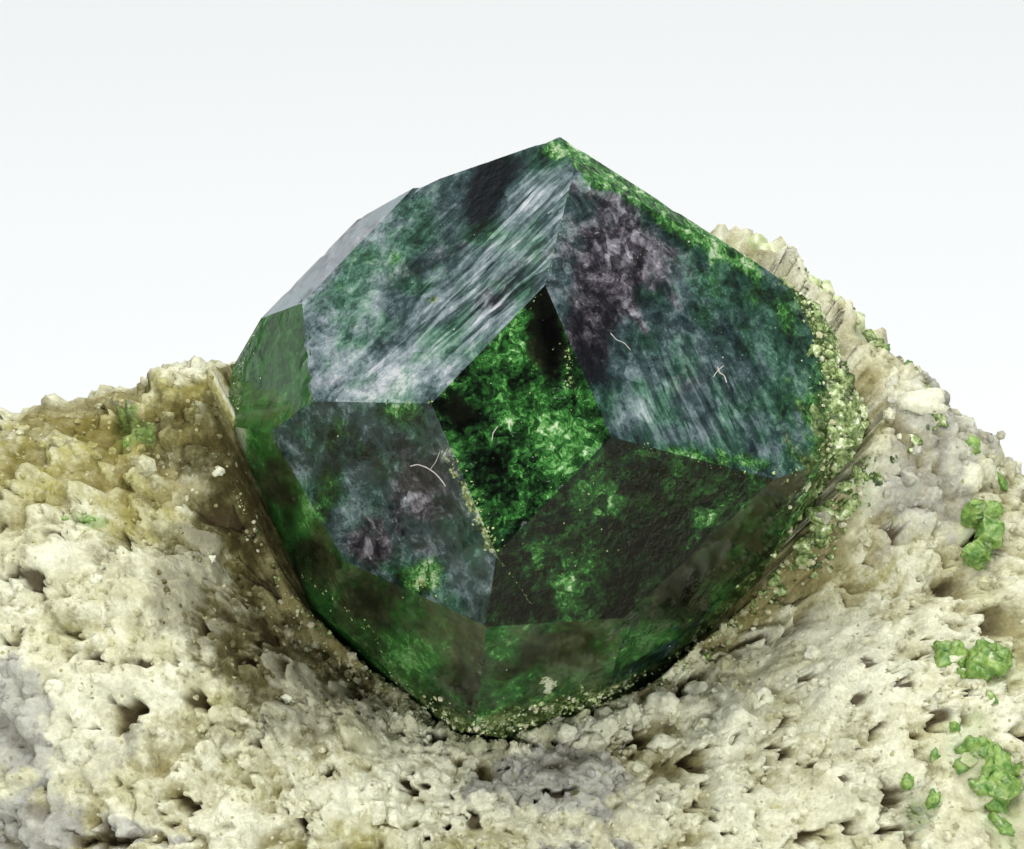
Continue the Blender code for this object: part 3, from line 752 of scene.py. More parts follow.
# Marks on the faces: kind, pixel across and down, half width, half height, turn, strength
faceMarks = (
    ("violet", 335, 245, 70, 60, 0, 0.6), ("paintedSheen", 365, 375, 70, 28, 0, 0.40),
    ("paintedSheen", 425, 365, 50, 28, 40, 0.25), ("dark", 470, 180, 70, 20, 18, 0.45),
    ("streaky", 505, 265, 60, 60, 0, 1.2),
    ("streaky", 440, 330, 60, 30, 30, 0.8), ("streaky", 545, 190, 26, 50, 0, 0.8),
    ("paintedSheen", 530, 225, 22, 60, -40, 0.2),
    ("violet", 430, 250, 44, 14, 10, 0.35), ("violet", 405, 275, 26, 10, 20, 0.4),
    ("violet", 510, 280, 50, 16, 40, 0.5),
    ("violet", 350, 385, 60, 12, 0, 0.4), ("dark", 510, 285, 30, 14, 40, 0.5), ("dark", 440, 262, 26, 8, 20, 0.5),
    ("dark", 489, 188, 18, 34, -16, 2.6), ("dark", 520, 163, 30, 9, 15, 0.7), ("green", 484, 232, 18, 9, 0, 1.2),
    ("green", 380, 262, 26, 12, 0, 0.9), ("green", 345, 290, 26, 14, 0, 0.8), ("green", 415, 286, 14, 8, 0, 0.9),
    ("green", 557, 150, 16, 14, 0, 1.6), ("green", 430, 200, 30, 12, 30, 0.7), ("paintedSheen", 520, 190, 26, 14, 35, 0.5),
    ("green", 400, 242, 40, 16, 20, 0.35), ("dark", 440, 250, 30, 14, 30, 0.35), ("green", 352, 345, 12, 5, 0, 0.6),
    ("chip", 433, 299, 4, 6, 0, 0.9), ("chip", 354, 325, 6, 3, 0, 1.0), ("green", 395, 322, 30, 8, 10, 0.3),
    ("paintedSheen", 600, 157, 44, 3, -33, 1.6), ("green", 640, 203, 80, 10, -33, 1.1),
    ("green", 720, 248, 50, 12, -30, 0.8),
    ("green", 790, 300, 26, 30, 0, 0.5), ("green", 590, 186, 20, 12, -40, 0.6),
    ("violet", 610, 240, 46, 60, 0, 0.8), ("violet", 590, 320, 34, 56, -20, 0.9),
    ("violet", 655, 270, 30, 40, 0, 0.6),
    ("dark", 590, 350, 16, 50, -20, 0.8), ("dark", 660, 225, 14, 40, 20, 0.4), ("dark", 585, 215, 10, 26, 0, 0.4),
    ("paintedSheen", 620, 270, 30, 50, -20, 0.25), ("paintedSheen", 575, 225, 16, 40, 0, 0.15), ("green", 740, 280, 50, 50, 0, 0.5),
    ("green", 770, 380, 50, 60, 0, 0.4), ("paintedSheen", 700, 310, 40, 40, 0, 0.12),
    ("dark", 640, 310, 34, 30, 0, 0.35), ("dark", 600, 378, 18, 16, 0, 1.0), ("dark", 575, 330, 14, 40, -16, 0.7),
    ("paintedSheen", 640, 412, 34, 24, -30, 0.35), ("green", 640, 385, 20, 8, 0, 0.6), ("dark", 745, 300, 50, 50, 0, 0.35),
    ("green", 752, 462, 40, 9, -8, 0.9), ("green", 815, 400, 30, 60, 0, 0.5), ("green", 700, 300, 20, 40, 0, 0.3),
    ("streaky", 700, 410, 80, 50, 0, 0.8), ("paintedSheen", 690, 395, 60, 30, -40, 0.15),
    ("green", 690, 365, 14, 10, 0, 0.5),
    ("green", 605, 400, 8, 24, -30, 0.7), ("dark", 720, 385, 40, 20, 0, 0.25), ("violet", 690, 375, 30, 24, 0, 0.4),
    ("dark", 550, 338, 15, 44, 4, 1.6), ("dark", 470, 420, 22, 22, 0, 0.9), ("dark", 500, 478, 22, 30, -20, 0.9),
    ("green", 560, 392, 8, 6, 0, 1.6), ("green", 505, 345, 18, 26, 30, 0.7), ("green", 500, 412, 20, 20, 0, 0.7),
    ("green", 570, 468, 46, 34, 0, 0.75), ("green", 545, 432, 26, 20, 0, 0.35), ("paintedSheen", 574, 470, 26, 22, 0, 0.30),
    ("paintedSheen", 540, 428, 20, 16, 0, 0.22), ("green", 590, 500, 30, 30, 0, 0.5),
    ("paintedSheen", 505, 540, 14, 14, 0, 0.35), ("chip", 573, 372, 4, 22, -8, 1.0),
    ("brown", 545, 340, 20, 50, 0, 0.8), ("green", 510, 423, 6, 5, 0, 1.2), ("brown", 462, 410, 24, 16, 0, 0.6),
    ("green", 700, 520, 13, 11, 0, 1.8), ("green", 575, 602, 20, 24, 0, 1.2), ("green", 600, 505, 24, 24, 0, 0.7),
    ("dark", 640, 480, 34, 24, 0, 0.7), ("brown", 640, 490, 36, 28, 0, 1.0), ("dark", 650, 540, 40, 30, 0, 0.9),
    ("brown", 655, 555, 30, 30, 0, 0.6), ("dark", 520, 600, 26, 20, 0, 1.0), ("green", 690, 457, 44, 9, -14, 1.1),
    ("dark", 620, 600, 20, 24, 0, 0.8), ("dark", 512, 560, 16, 20, 0, 0.6), ("green", 545, 555, 14, 20, 0, 0.4),
    ("green", 745, 500, 20, 14, 0, 0.5), ("brown", 715, 490, 20, 14, 0, 0.5),
    ("chip", 452, 470, 4, 24, 28, 0.9), ("chip", 470, 500, 5, 24, 24, 0.9), ("chip", 488, 535, 7, 20, 14, 1.1),
    ("green", 400, 412, 26, 12, 0, 1.1), ("chip", 398, 418, 12, 12, 0, 0.5), ("green", 425, 578, 20, 15, 0, 1.3),
    ("chip", 420, 582, 10, 9, 0, 0.75), ("violet", 425, 490, 40, 50, 0, 0.8), ("violet", 370, 548, 30, 24, 0, 0.9),
    ("paintedSheen", 455, 590, 24, 20, 0, 0.4), ("paintedSheen", 352, 510, 16, 40, 0, 0.35), ("green", 340, 430, 24, 20, 0, 0.4),
    ("dark", 350, 455, 30, 14, 0, 0.5), ("green", 325, 500, 14, 30, -25, 0.9),
    ("dark", 400, 440, 40, 12, 0, 0.3), ("green", 455, 450, 10, 14, 0, 0.6),
    ("dark", 320, 560, 26, 16, -20, 0.6), ("chip", 549, 686, 6, 6, 0, 2.2), ("green", 500, 722, 46, 9, 0, 1.2),
    ("chip", 490, 726, 36, 5, 5, 0.6), ("green", 650, 652, 44, 26, -10, 0.9), ("green", 600, 700, 40, 14, -10, 0.8),
    ("brown", 560, 650, 50, 24, 0, 0.5), ("dark", 470, 690, 40, 20, 20, 0.4), ("green", 560, 705, 30, 10, 0, 0.6),
    ("green", 728, 605, 30, 14, -40, 0.9), ("dark", 680, 590, 30, 20, -40, 0.6), ("green", 410, 660, 40, 20, 30, 0.7),
    ("green", 400, 690, 40, 14, 30, 0.7), ("brown", 450, 640, 50, 20, 10, 0.4), ("brown", 790, 490, 30, 16, -20, 0.6),
    ("paintedSheen", 770, 492, 26, 8, -30, 0.5), ("green", 800, 520, 14, 18, 0, 0.6), ("dark", 375, 590, 34, 20, 20, 0.6),
    ("green", 830, 450, 20, 40, 10, 0.9), ("chip", 838, 452, 8, 30, 6, 0.5), ("green", 240, 440, 10, 60, 0, 0.9),
    ("chip", 800, 500, 10, 16, 0, 0.5), ("dark", 290, 520, 14, 30, -20, 0.3), ("brown", 262, 420, 12, 50, 0, 0.5),
    ("rind", 815, 445, 22, 30, 0, 0.35), ("rind", 800, 385, 18, 40, 0, 0.25),
    ("green", 236, 470, 8, 50, -6, 0.9), ("green", 262, 545, 8, 34, -25, 0.8), ("green", 318, 628, 12, 40, -42, 0.7),
    ("green", 308, 508, 10, 26, -20, 0.9), ("brown", 275, 480, 12, 44, -14, 0.5),
    ("dark", 300, 560, 12, 30, -28, 0.5),
    ("brown", 330, 585, 30, 14, -30, 0.4), ("chip", 326, 640, 9, 38, -42, 0.5), ("chip", 376, 672, 26, 9, 35, 0.4),
    ("green", 380, 680, 30, 10, -30, 0.6), ("green", 690, 655, 30, 8, 40, 0.5),
)
# Of these kinds, the first is the silvery blue painted reflection, green is painted light through the crystal, brown
# a painted reflection of the rock and dark painted shade; violet and streaky tint the painted reflection and draw it
# into strokes, and chip and rind are the crystal's own pale chips and crumbly rind
markKinds = ("paintedSheen", "green", "brown", "dark", "chip", "violet", "streaky", "rind")
# The crystal's rim in the picture: pixel across and down, width of its rind in pixels, strength, then the loose
# grains along it: spread in pixels, how many in 100 pixels, the largest one's size in millimetres
rim = np.array((
    (262, 322, 5, 0.2, 2, 30, 0.020), (238, 370, 7, 0.3, 3, 50, 0.022), (231, 430, 8, 0.4, 3, 70, 0.024),
    (238, 490, 8, 0.4, 4, 90, 0.026), (264, 548, 8, 0.5, 5, 110, 0.03), (297, 610, 10, 0.6, 6, 150, 0.034),
    (345, 660, 12, 0.7, 7, 190, 0.038), (400, 700, 14, 0.8, 7, 200, 0.04), (470, 731, 16, 0.9, 7, 220, 0.042),
    (560, 709, 18, 1.0, 7, 220, 0.045), (640, 690, 18, 0.9, 7, 220, 0.045), (700, 652, 18, 0.9, 8, 240, 0.045),
    (760, 600, 20, 1.0, 9, 300, 0.05), (800, 560, 24, 1.1, 10, 400, 0.055), (834, 505, 30, 1.2, 11, 560, 0.06),
    (850, 440, 34, 1.2, 12, 640, 0.06), (848, 390, 30, 1.2, 11, 560, 0.06), (832, 335, 24, 1.0, 9, 380, 0.055),
    (805, 290, 14, 0.8, 7, 240, 0.05), (775, 262, 8, 0.6, 4, 110, 0.04),
))


# How near pixels are to the rim, as a share of the rind's width there, 0 on the rim itself, and the rind's strength:
# the least of their distances to the rim's straight pieces, each divided by its width
def nearRim(pixels):
    best, strength = np.full(len(pixels), 99.0), np.zeros(len(pixels))
    for start, end in zip(rim[:-1], rim[1:]):
        step = end[:2] - start[:2]
        t = np.clip((pixels - start[:2]) @ step / (step @ step), 0, 1)
        far = np.linalg.norm(pixels - start[:2] - t[:, None] * step, axis=1) / (start[2] + t * (end[2] - start[2]))
        strength = np.where(far < best, start[3] + t * (end[3] - start[3]), strength)
        best = np.minimum(best, far)
    return best, strength


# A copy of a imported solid: joined, its flat faces made whole, and its edges bevelled by a width in millimetres
def wornSolid(node, bevel):
    work = bmesh.new()
    work.from_mesh(node.data)
    bmesh.ops.remove_doubles(work, verts=work.verts, dist=0.0005 * mm)
    bmesh.ops.dissolve_limit(work, angle_limit=math.radians(0.6), verts=work.verts, edges=work.edges)
    bmesh.ops.bevel(work, geom=list(work.edges), offset=bevel * mm, segments=2, profile=0.6, affect="EDGES",
                    clamp_overlap=True)
    return work


# A fine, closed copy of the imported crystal, sliced by level planes along three ways, so that marks and chips have
# points to hold them
def crystalMesh():
    work = wornSolid(crystalNode, crystal["bevel"])
    low, high = (np.array(corner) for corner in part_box("garnet_crystal"))
    for axis in range(3):
        normal = np.eye(3)[axis] + 0.13 * np.roll(np.eye(3)[axis], 1) + 0.07 * np.roll(np.eye(3)[axis], 2)
        normal /= np.linalg.norm(normal)
        middle = (low + high) / 2
        reach = np.linalg.norm(high - low) / 2
        for level in np.arange(-reach, reach, crystal["slice"] * mm):
            parts = list(work.verts) + list(work.edges) + list(work.faces)
            bmesh.ops.bisect_plane(work, geom=parts, plane_co=middle + normal * level, plane_no=normal, dist=1e-9)
    bmesh.ops.triangulate(work, faces=work.faces)
    mesh = bpy.data.meshes.new("crystal_body")
    work.to_mesh(mesh)
    work.free()
    return mesh


# The crystal: chips eat into its edges, and marks, streak directions and grain are kept on its face corners
def crystalBody():
    mesh = crystalMesh()
    points = readRows(mesh.vertices, "co") / mm
    depths = np.sort(crystalReach - points @ crystalNormals.T, axis=1)
    edge = 1 - rise(depths[:, 1], 0.0, 0.09)
    bite = rise(roughNoise(points / 0.35, 900, 3), 0.15, 0.9)
    inward = crystalMiddle - points
    inward /= np.linalg.norm(inward, axis=1)[:, None]
    points += inward * (crystal["chip"] * edge * bite)[:, None]
    movePoints(mesh, points)

    faceOf = (readRows(mesh.polygons, "normal") @ crystalNormals.T).argmax(axis=1)
    corner = readRows(mesh.loops, "vertex_index", 1, np.int32)
    cornerFace = np.repeat(faceOf, 3)
    at = points[corner]

    looks = np.zeros((len(crystalNormals), len(markKinds)))
    looks[:, :4] = crystal["hidden"]
    turns = np.zeros(len(crystalNormals))
    for direction, turn, levels, streaky in faceLooks.values():
        match = (crystalNormals @ np.array(direction)).argmax()
        looks[match, :4] = levels
        looks[match, 6] = streaky
        turns[match] = math.radians(turn)
    marks = looks[cornerFace]

    inPicture = pixelsOf(points)[corner]
    spots, spotFace = onCrystal([m[1:3] for m in faceMarks])
    uneven = 1 + 0.35 * roughNoise(points / 0.35, 950, 2)[corner]
    for (kind, x, y, wide, tall, turn, strength), face in zip(faceMarks, spotFace):
        own = np.flatnonzero(cornerFace == face)
        off = inPicture[own] - (x, y)
        c, s = math.cos(math.radians(turn)), math.sin(math.radians(turn))
        far = np.hypot((off[:, 0] * c - off[:, 1] * s) / wide, (off[:, 0] * s + off[:, 1] * c) / tall)
        marks[own, markKinds.index(kind)] += strength * (1 - rise(far * uneven[own], 0.2, 1.7))

    # Along and across each face's streaks: the picture's streak direction laid on to the face
    pictureWay = np.cos(turns)[:, None] * toRight + np.sin(turns)[:, None] * toUp
    facing = crystalNormals @ toCamera
    facing = np.where(np.abs(facing) < 0.12, 0.12, facing)
    along = pictureWay - toCamera * (np.einsum("ij,ij->i", crystalNormals, pictureWay) / facing)[:, None]
    along /= np.linalg.norm(along, axis=1)[:, None]
    across = np.cross(crystalNormals, along)
    sheet = mesh.uv_layers.new(name="streaks")
    uv = np.stack([
        np.einsum("ij,ij->i", at, along[cornerFace]) + 3.7 * cornerFace,
        np.einsum("ij,ij->i", at, across[cornerFace]) + 1.9 * cornerFace,
    ], axis=1)
    sheet.data.foreach_set("uv", uv.astype(np.float32).ravel())

    body = placed("crystal_body", mesh)
    far = np.linalg.norm(points - rockCentre, axis=1)
    gap = far - skinFar((points - rockCentre) / far[:, None])
    share, strength = nearRim(pixelsOf(points))
    edge = strength * (1 - rise(share * (1 + 0.5 * roughNoise(points / 0.25, 990, 3)), 0.25, 1.3))
    rind = (1 - rise(gap + 0.16 * roughNoise(points / 0.3, 980, 2), 0.0, 0.4))
    rind = rind * (0.12 + 0.88 * rise(points[:, 0], 2.6, 4.0)) + edge
    rind = rind[corner] + marks[:, 7]
    paintMarks(body, "looks", marks[:, :4], "CORNER")
    paintMarks(body, "extras", np.stack([marks[:, 4], marks[:, 5], rind, marks[:, 6]], axis=1), "CORNER")
    return body


print("crystal")
crystalPiece = crystalBody()

# Shader helpers
# A new node with its settings and its inputs, where an input may be a value or another node's output
def addNode(tree, kind, inputs=None, **settings):
    made = tree.nodes.new(kind)
    for name, value in settings.items():
        setattr(made, name, value)
    for name, value in (inputs or {}).items():
        socket = made.inputs[name]
        if isinstance(value, bpy.types.NodeSocket):
            tree.links.new(value, socket)
        else:
            socket.default_value = value
    return made


# The first colour where the share is 0, the second where it is 1
def blend(tree, share, first, second, how="MIX"):
    made = addNode(tree, "ShaderNodeMix", {0: share, 6: first, 7: second}, data_type="RGBA", blend_type=how)
    return made.outputs[2]


# One step of arithmetic on two values
def sums(tree, how, first, second):
    return addNode(tree, "ShaderNodeMath", {0: first, 1: second}, operation=how).outputs[0]


# A level plus each value's distance from its own middle, times its weight; marks count from 0 and noises from a half
def total(tree, level, *parts):
    result = None
    for value, weight in parts:
        middle = 0.5 if value.node.type == "TEX_NOISE" else 0.0
        step = addNode(tree, "ShaderNodeMath", {0: value, 1: weight, 2: level - middle * weight if result is None
                       else -middle * weight}, operation="MULTIPLY_ADD").outputs[0]
        result = step if result is None else sums(tree, "ADD", result, step)
    return result


# A colour for each value, from stops along a ramp
def tones(tree, value, stops):
    node = addNode(tree, "ShaderNodeValToRGB", {0: value})
    for place, _ in stops[1:-1]:
        node.color_ramp.elements.new(place)
    for element, (place, colour) in zip(node.color_ramp.elements, stops):
        element.position = place
        element.color = (*colour, 1)
    return node.outputs[0]


# A smooth rise from start to end as the value goes from low to high
def ramp(tree, value, low, high, start=0.0, end=1.0):
    return addNode(
        tree, "ShaderNodeMapRange",
        {"Value": value, "From Min": low, "From Max": high, "To Min": start, "To Max": end},
        interpolation_type="SMOOTHSTEP",
    ).outputs[0]


# Noise from 0 to 1 at places
def noise(tree, spot, scale, detail=3.0, rough=0.55, bend=0.0):
    return addNode(
        tree, "ShaderNodeTexNoise",
        {"Vector": spot, "Scale": scale, "Detail": detail, "Roughness": rough, "Distortion": bend},
    ).outputs["Fac"]


# Object coordinates in millimetres
def places(tree):
    spot = addNode(tree, "ShaderNodeTexCoord").outputs["Object"]
    return addNode(tree, "ShaderNodeVectorMath", {0: spot, 3: 1000.0}, operation="SCALE").outputs[0]


# Places stretched by a scale and then moved
def mapped(tree, spot, scale, move=(0.0, 0.0, 0.0)):
    return addNode(tree, "ShaderNodeMapping", {"Vector": spot, "Scale": scale, "Location": move}).outputs[0]


# Places turned to face the photograph's camera and squeezed in depth, so that a pattern on a face that is seen
# aslant isn't drawn out into lines
def squeezed(tree, spot):
    turned = addNode(tree, "ShaderNodeMapping", {"Vector": spot, "Rotation": (tilt, 0.0, 0.0)}).outputs[0]
    return mapped(tree, turned, (1.0, 0.4, 1.0))


# The four values of a mark kept with the mesh
def marksOf(tree, name):
    node = addNode(tree, "ShaderNodeAttribute", attribute_name=name)
    split = addNode(tree, "ShaderNodeSeparateColor", {0: node.outputs["Color"]})
    return (*split.outputs, node.outputs["Alpha"])


# A new material with its node tree and its shader
def newMaterial(name):
    made = bpy.data.materials.new(name)
    made.use_nodes = True
    tree = made.node_tree
    return made, tree, tree.nodes["Principled BSDF"]


# A bump from a height, its depth in millimetres, on a finish's normal
def addBump(tree, shader, height, strength, depth):
    bump = addNode(tree, "ShaderNodeBump", {"Strength": strength, "Distance": depth * mm, "Height": height})
    tree.links.new(bump.outputs[0], shader.inputs["Normal"])


# A roughness that wanders between two values with a noise
def wanderRough(tree, shader, value, low, high):
    tree.links.new(ramp(tree, value, 0.3, 0.7, low, high), shader.inputs["Roughness"])


# An empty node group from a place and named numbers to a mask
def maskGroup(name, numbers):
    tree = bpy.data.node_groups.new(name, "ShaderNodeTree")
    tree.interface.new_socket("Place", in_out="INPUT", socket_type="NodeSocketVector")
    for number in numbers:
        tree.interface.new_socket(number, in_out="INPUT", socket_type="NodeSocketFloat")
    tree.interface.new_socket("Mask", in_out="OUTPUT", socket_type="NodeSocketFloat")
    return tree, tree.nodes.new("NodeGroupInput"), tree.nodes.new("NodeGroupOutput")


# Uneven patches: noise bent by itself, with soft or hard borders
def patchGroup():
    tree, start, end = maskGroup("uneven_patches", ("Scale", "Low", "High"))
    value = addNode(tree, "ShaderNodeTexNoise", {
        "Vector": start.outputs["Place"], "Scale": start.outputs["Scale"],
        "Detail": 4.0, "Roughness": 0.62, "Distortion": 0.6,
    }).outputs["Fac"]
    tree.links.new(ramp(tree, value, start.outputs["Low"], start.outputs["High"]), end.inputs["Mask"])
    return tree


# Scattered specks: the middles of random cells, where the cell's own value is high
def speckGroup():
    tree, start, end = maskGroup("scattered_specks", ("Scale", "Rarity", "Size"))
    cells = addNode(tree, "ShaderNodeTexVoronoi", {"Vector": start.outputs["Place"], "Scale": start.outputs["Scale"]})
    own = addNode(tree, "ShaderNodeSeparateColor", {0: cells.outputs["Color"]}).outputs[0]
    near = sums(tree, "LESS_THAN", cells.outputs["Distance"], start.outputs["Size"])
    rare = sums(tree, "GREATER_THAN", own, start.outputs["Rarity"])
    tree.links.new(sums(tree, "MULTIPLY", near, rare), end.inputs["Mask"])
    return tree


patches, specks = patchGroup(), speckGroup()


# The patches and the specks, placed in a material with its own values
def patchMask(tree, spot, scale, low, high):
    values = {"Place": spot, "Scale": scale, "Low": low, "High": high}
    return addNode(tree, "ShaderNodeGroup", node_tree=patches, inputs=values).outputs[0]


def speckMask(tree, spot, scale, rarity, size):
    values = {"Place": spot, "Scale": scale, "Rarity": rarity, "Size": size}
    return addNode(tree, "ShaderNodeGroup", node_tree=specks, inputs=values).outputs[0]


# A mark with a broken border: its strength plus noise, then a steep rise
def broken(tree, strength, grain, low=0.55, high=0.85, much=0.5):
    lifted = sums(tree, "ADD", strength, sums(tree, "MULTIPLY", sums(tree, "SUBTRACT", grain, 0.5), much * 2))
    return ramp(tree, lifted, low, high)


# The rock's finish
rockLook = {
    "cream": (0.52, 0.51, 0.31, 1), "white": (0.74, 0.75, 0.58, 1), "dull": (0.33, 0.315, 0.165, 1),
    "brown": (0.10, 0.090, 0.030, 1), "grey": (0.37, 0.37, 0.33, 1), "ochre": (0.36, 0.335, 0.105, 1),
    "green": (0.20, 0.34, 0.085, 1), "pitShade": (0.055, 0.040, 0.016, 1),
}


def rockMaterial():
    made, tree, shader = newMaterial("porous_cream_rock")
    spot = places(tree)
    brown, grey, ochre, green = marksOf(tree, "tints")
    poreShade, white, low = marksOf(tree, "pores")[:3]
    broad = patchMask(tree, spot, 1.3, 0.35, 0.68)
    mid = noise(tree, spot, 4.5, 4.0, 0.65)
    fine = noise(tree, spot, 16.0, 3.0, 0.6)
    tint = blend(tree, broad, rockLook["cream"], rockLook["white"])
    tint = blend(tree, ramp(tree, mid, 0.42, 0.72, 0.0, 0.85), tint, rockLook["dull"])
    tint = blend(tree, broken(tree, white, mid, 0.1, 0.9, 0.5), tint, rockLook["white"])
    tint = blend(tree, broken(tree, ochre, mid, 0.15, 1.1, 0.8), tint, rockLook["ochre"])
    tint = blend(tree, broken(tree, grey, mid, 0.3, 0.9, 0.4), tint, rockLook["grey"])
    # Brown: the rock's own brown, and painted shade beside the crystal
    tint = blend(tree, broken(tree, brown, mid, 0.15, 1.15, 0.8), tint, rockLook["brown"])
    tint = blend(tree, broken(tree, green, fine, 0.35, 1.25, 0.7), tint, rockLook["green"])
    cells = addNode(tree, "ShaderNodeTexVoronoi", {"Vector": spot, "Scale": 9.0, "Randomness": 1.0})
    own = addNode(tree, "ShaderNodeSeparateColor", {0: cells.outputs["Color"]}).outputs[0]
    tint = blend(tree, ramp(tree, own, 0.1, 1.0, 0.22, 0.0), tint, (0.30, 0.26, 0.15, 1), "MULTIPLY")
    tint = blend(tree, ramp(tree, fine, 0.35, 0.65, 0.28, 0.0), tint, (0.35, 0.30, 0.18, 1), "MULTIPLY")
    # Painted light on the high places of the relief and painted shade in its low places
    tint = blend(tree, ramp(tree, low, 0.0, 0.35, 0.22, 0.0), tint, rockLook["white"])
    tint = blend(tree, ramp(tree, low, 0.25, 0.95, 0.0, 0.9), tint, (0.45, 0.40, 0.23, 1), "MULTIPLY")
    tint = blend(tree, speckMask(tree, spot, 7.0, 0.80, 0.22), tint, rockLook["dull"])
    # Painted shade: the pores and hollows nearly black
    tint = blend(tree, ramp(tree, poreShade, 0.2, 0.9, 0.0, 0.92), tint, rockLook["pitShade"])
    tree.links.new(tint, shader.inputs["Base Color"])
    shader.inputs["Roughness"].default_value = 0.92
    shader.inputs["Specular IOR Level"].default_value = 0.25
    grit = sums(tree, "MULTIPLY", noise(tree, spot, 45.0, 1.0), 0.2)
    addBump(tree, shader, sums(tree, "ADD", sums(tree, "MULTIPLY", fine, 0.5), grit), 0.9, 0.06)
    return made


# The crystal's finish: tones from dark to light, by how much light a spot gives back
crystalLook = {
    "green": ((0.0, (0.003, 0.004, 0.003)), (0.25, (0.008, 0.018, 0.008)), (0.45, (0.022, 0.080, 0.020)),
              (0.64, (0.052, 0.215, 0.042)), (0.82, (0.19, 0.50, 0.13)), (1.0, (0.78, 0.92, 0.60))),
    "brown": ((0.0, (0.003, 0.003, 0.003)), (0.28, (0.010, 0.013, 0.007)), (0.50, (0.038, 0.048, 0.021)),
              (0.70, (0.11, 0.140, 0.060)), (0.88, (0.28, 0.35, 0.17)), (1.0, (0.72, 0.76, 0.56))),
    "paintedSheen": ((0.0, (0.005, 0.008, 0.011)), (0.22, (0.016, 0.034, 0.036)), (0.42, (0.060, 0.105, 0.108)),
              (0.60, (0.19, 0.265, 0.275)), (0.80, (0.47, 0.56, 0.59)), (1.0, (0.92, 0.95, 0.96))),
    "teal": ((0.0, (0.004, 0.009, 0.006)), (0.22, (0.010, 0.034, 0.022)), (0.42, (0.035, 0.110, 0.070)),
             (0.60, (0.12, 0.275, 0.19)), (0.80, (0.36, 0.56, 0.44)), (1.0, (0.86, 0.95, 0.88))),
    "violet": ((0.0, (0.006, 0.005, 0.008)), (0.22, (0.028, 0.024, 0.032)), (0.42, (0.10, 0.088, 0.105)),
               (0.60, (0.24, 0.22, 0.25)), (0.80, (0.46, 0.45, 0.49)), (1.0, (0.86, 0.86, 0.90))),
    "rind": ((0.0, (0.008, 0.014, 0.005)), (0.28, (0.030, 0.062, 0.012)), (0.50, (0.11, 0.165, 0.040)),
             (0.72, (0.30, 0.39, 0.14)), (0.88, (0.60, 0.68, 0.40)), (1.0, (0.88, 0.92, 0.72))),
    "paintedGlint": (0.95, 1.0, 0.85, 1),
}
crystalClear = {
    "Transmission Weight": 0.5, "IOR": 1.88, "Specular IOR Level": 0.0, "Specular Tint": (0.15, 0.16, 0.16, 1),
}
crystalDepth = {"Color": (0.03, 0.80, 0.10, 1), "Density": 2400.0}


# A random level for each cell of a scattered pattern, counted from its middle
def cellTone(tree, spot, scale):
    cells = addNode(tree, "ShaderNodeTexVoronoi", {"Vector": spot, "Scale": scale})
    own = addNode(tree, "ShaderNodeSeparateColor", {0: cells.outputs["Color"]}).outputs[0]
    return sums(tree, "SUBTRACT", own, 0.5)


# A place pushed aside by noise: the noise's colour less a half, times the push, added to the place
def pushed(tree, spot, scale, push):
    sway = addNode(tree, "ShaderNodeTexNoise", {"Vector": spot, "Scale": scale, "Detail": 1.0}).outputs["Color"]
    sway = addNode(tree, "ShaderNodeVectorMath", {0: sway, 1: (0.5, 0.5, 0.5)}, operation="SUBTRACT").outputs[0]
    return addNode(tree, "ShaderNodeVectorMath", {0: sway, 1: (push, push, push), 2: spot},
                   operation="MULTIPLY_ADD").outputs[0]


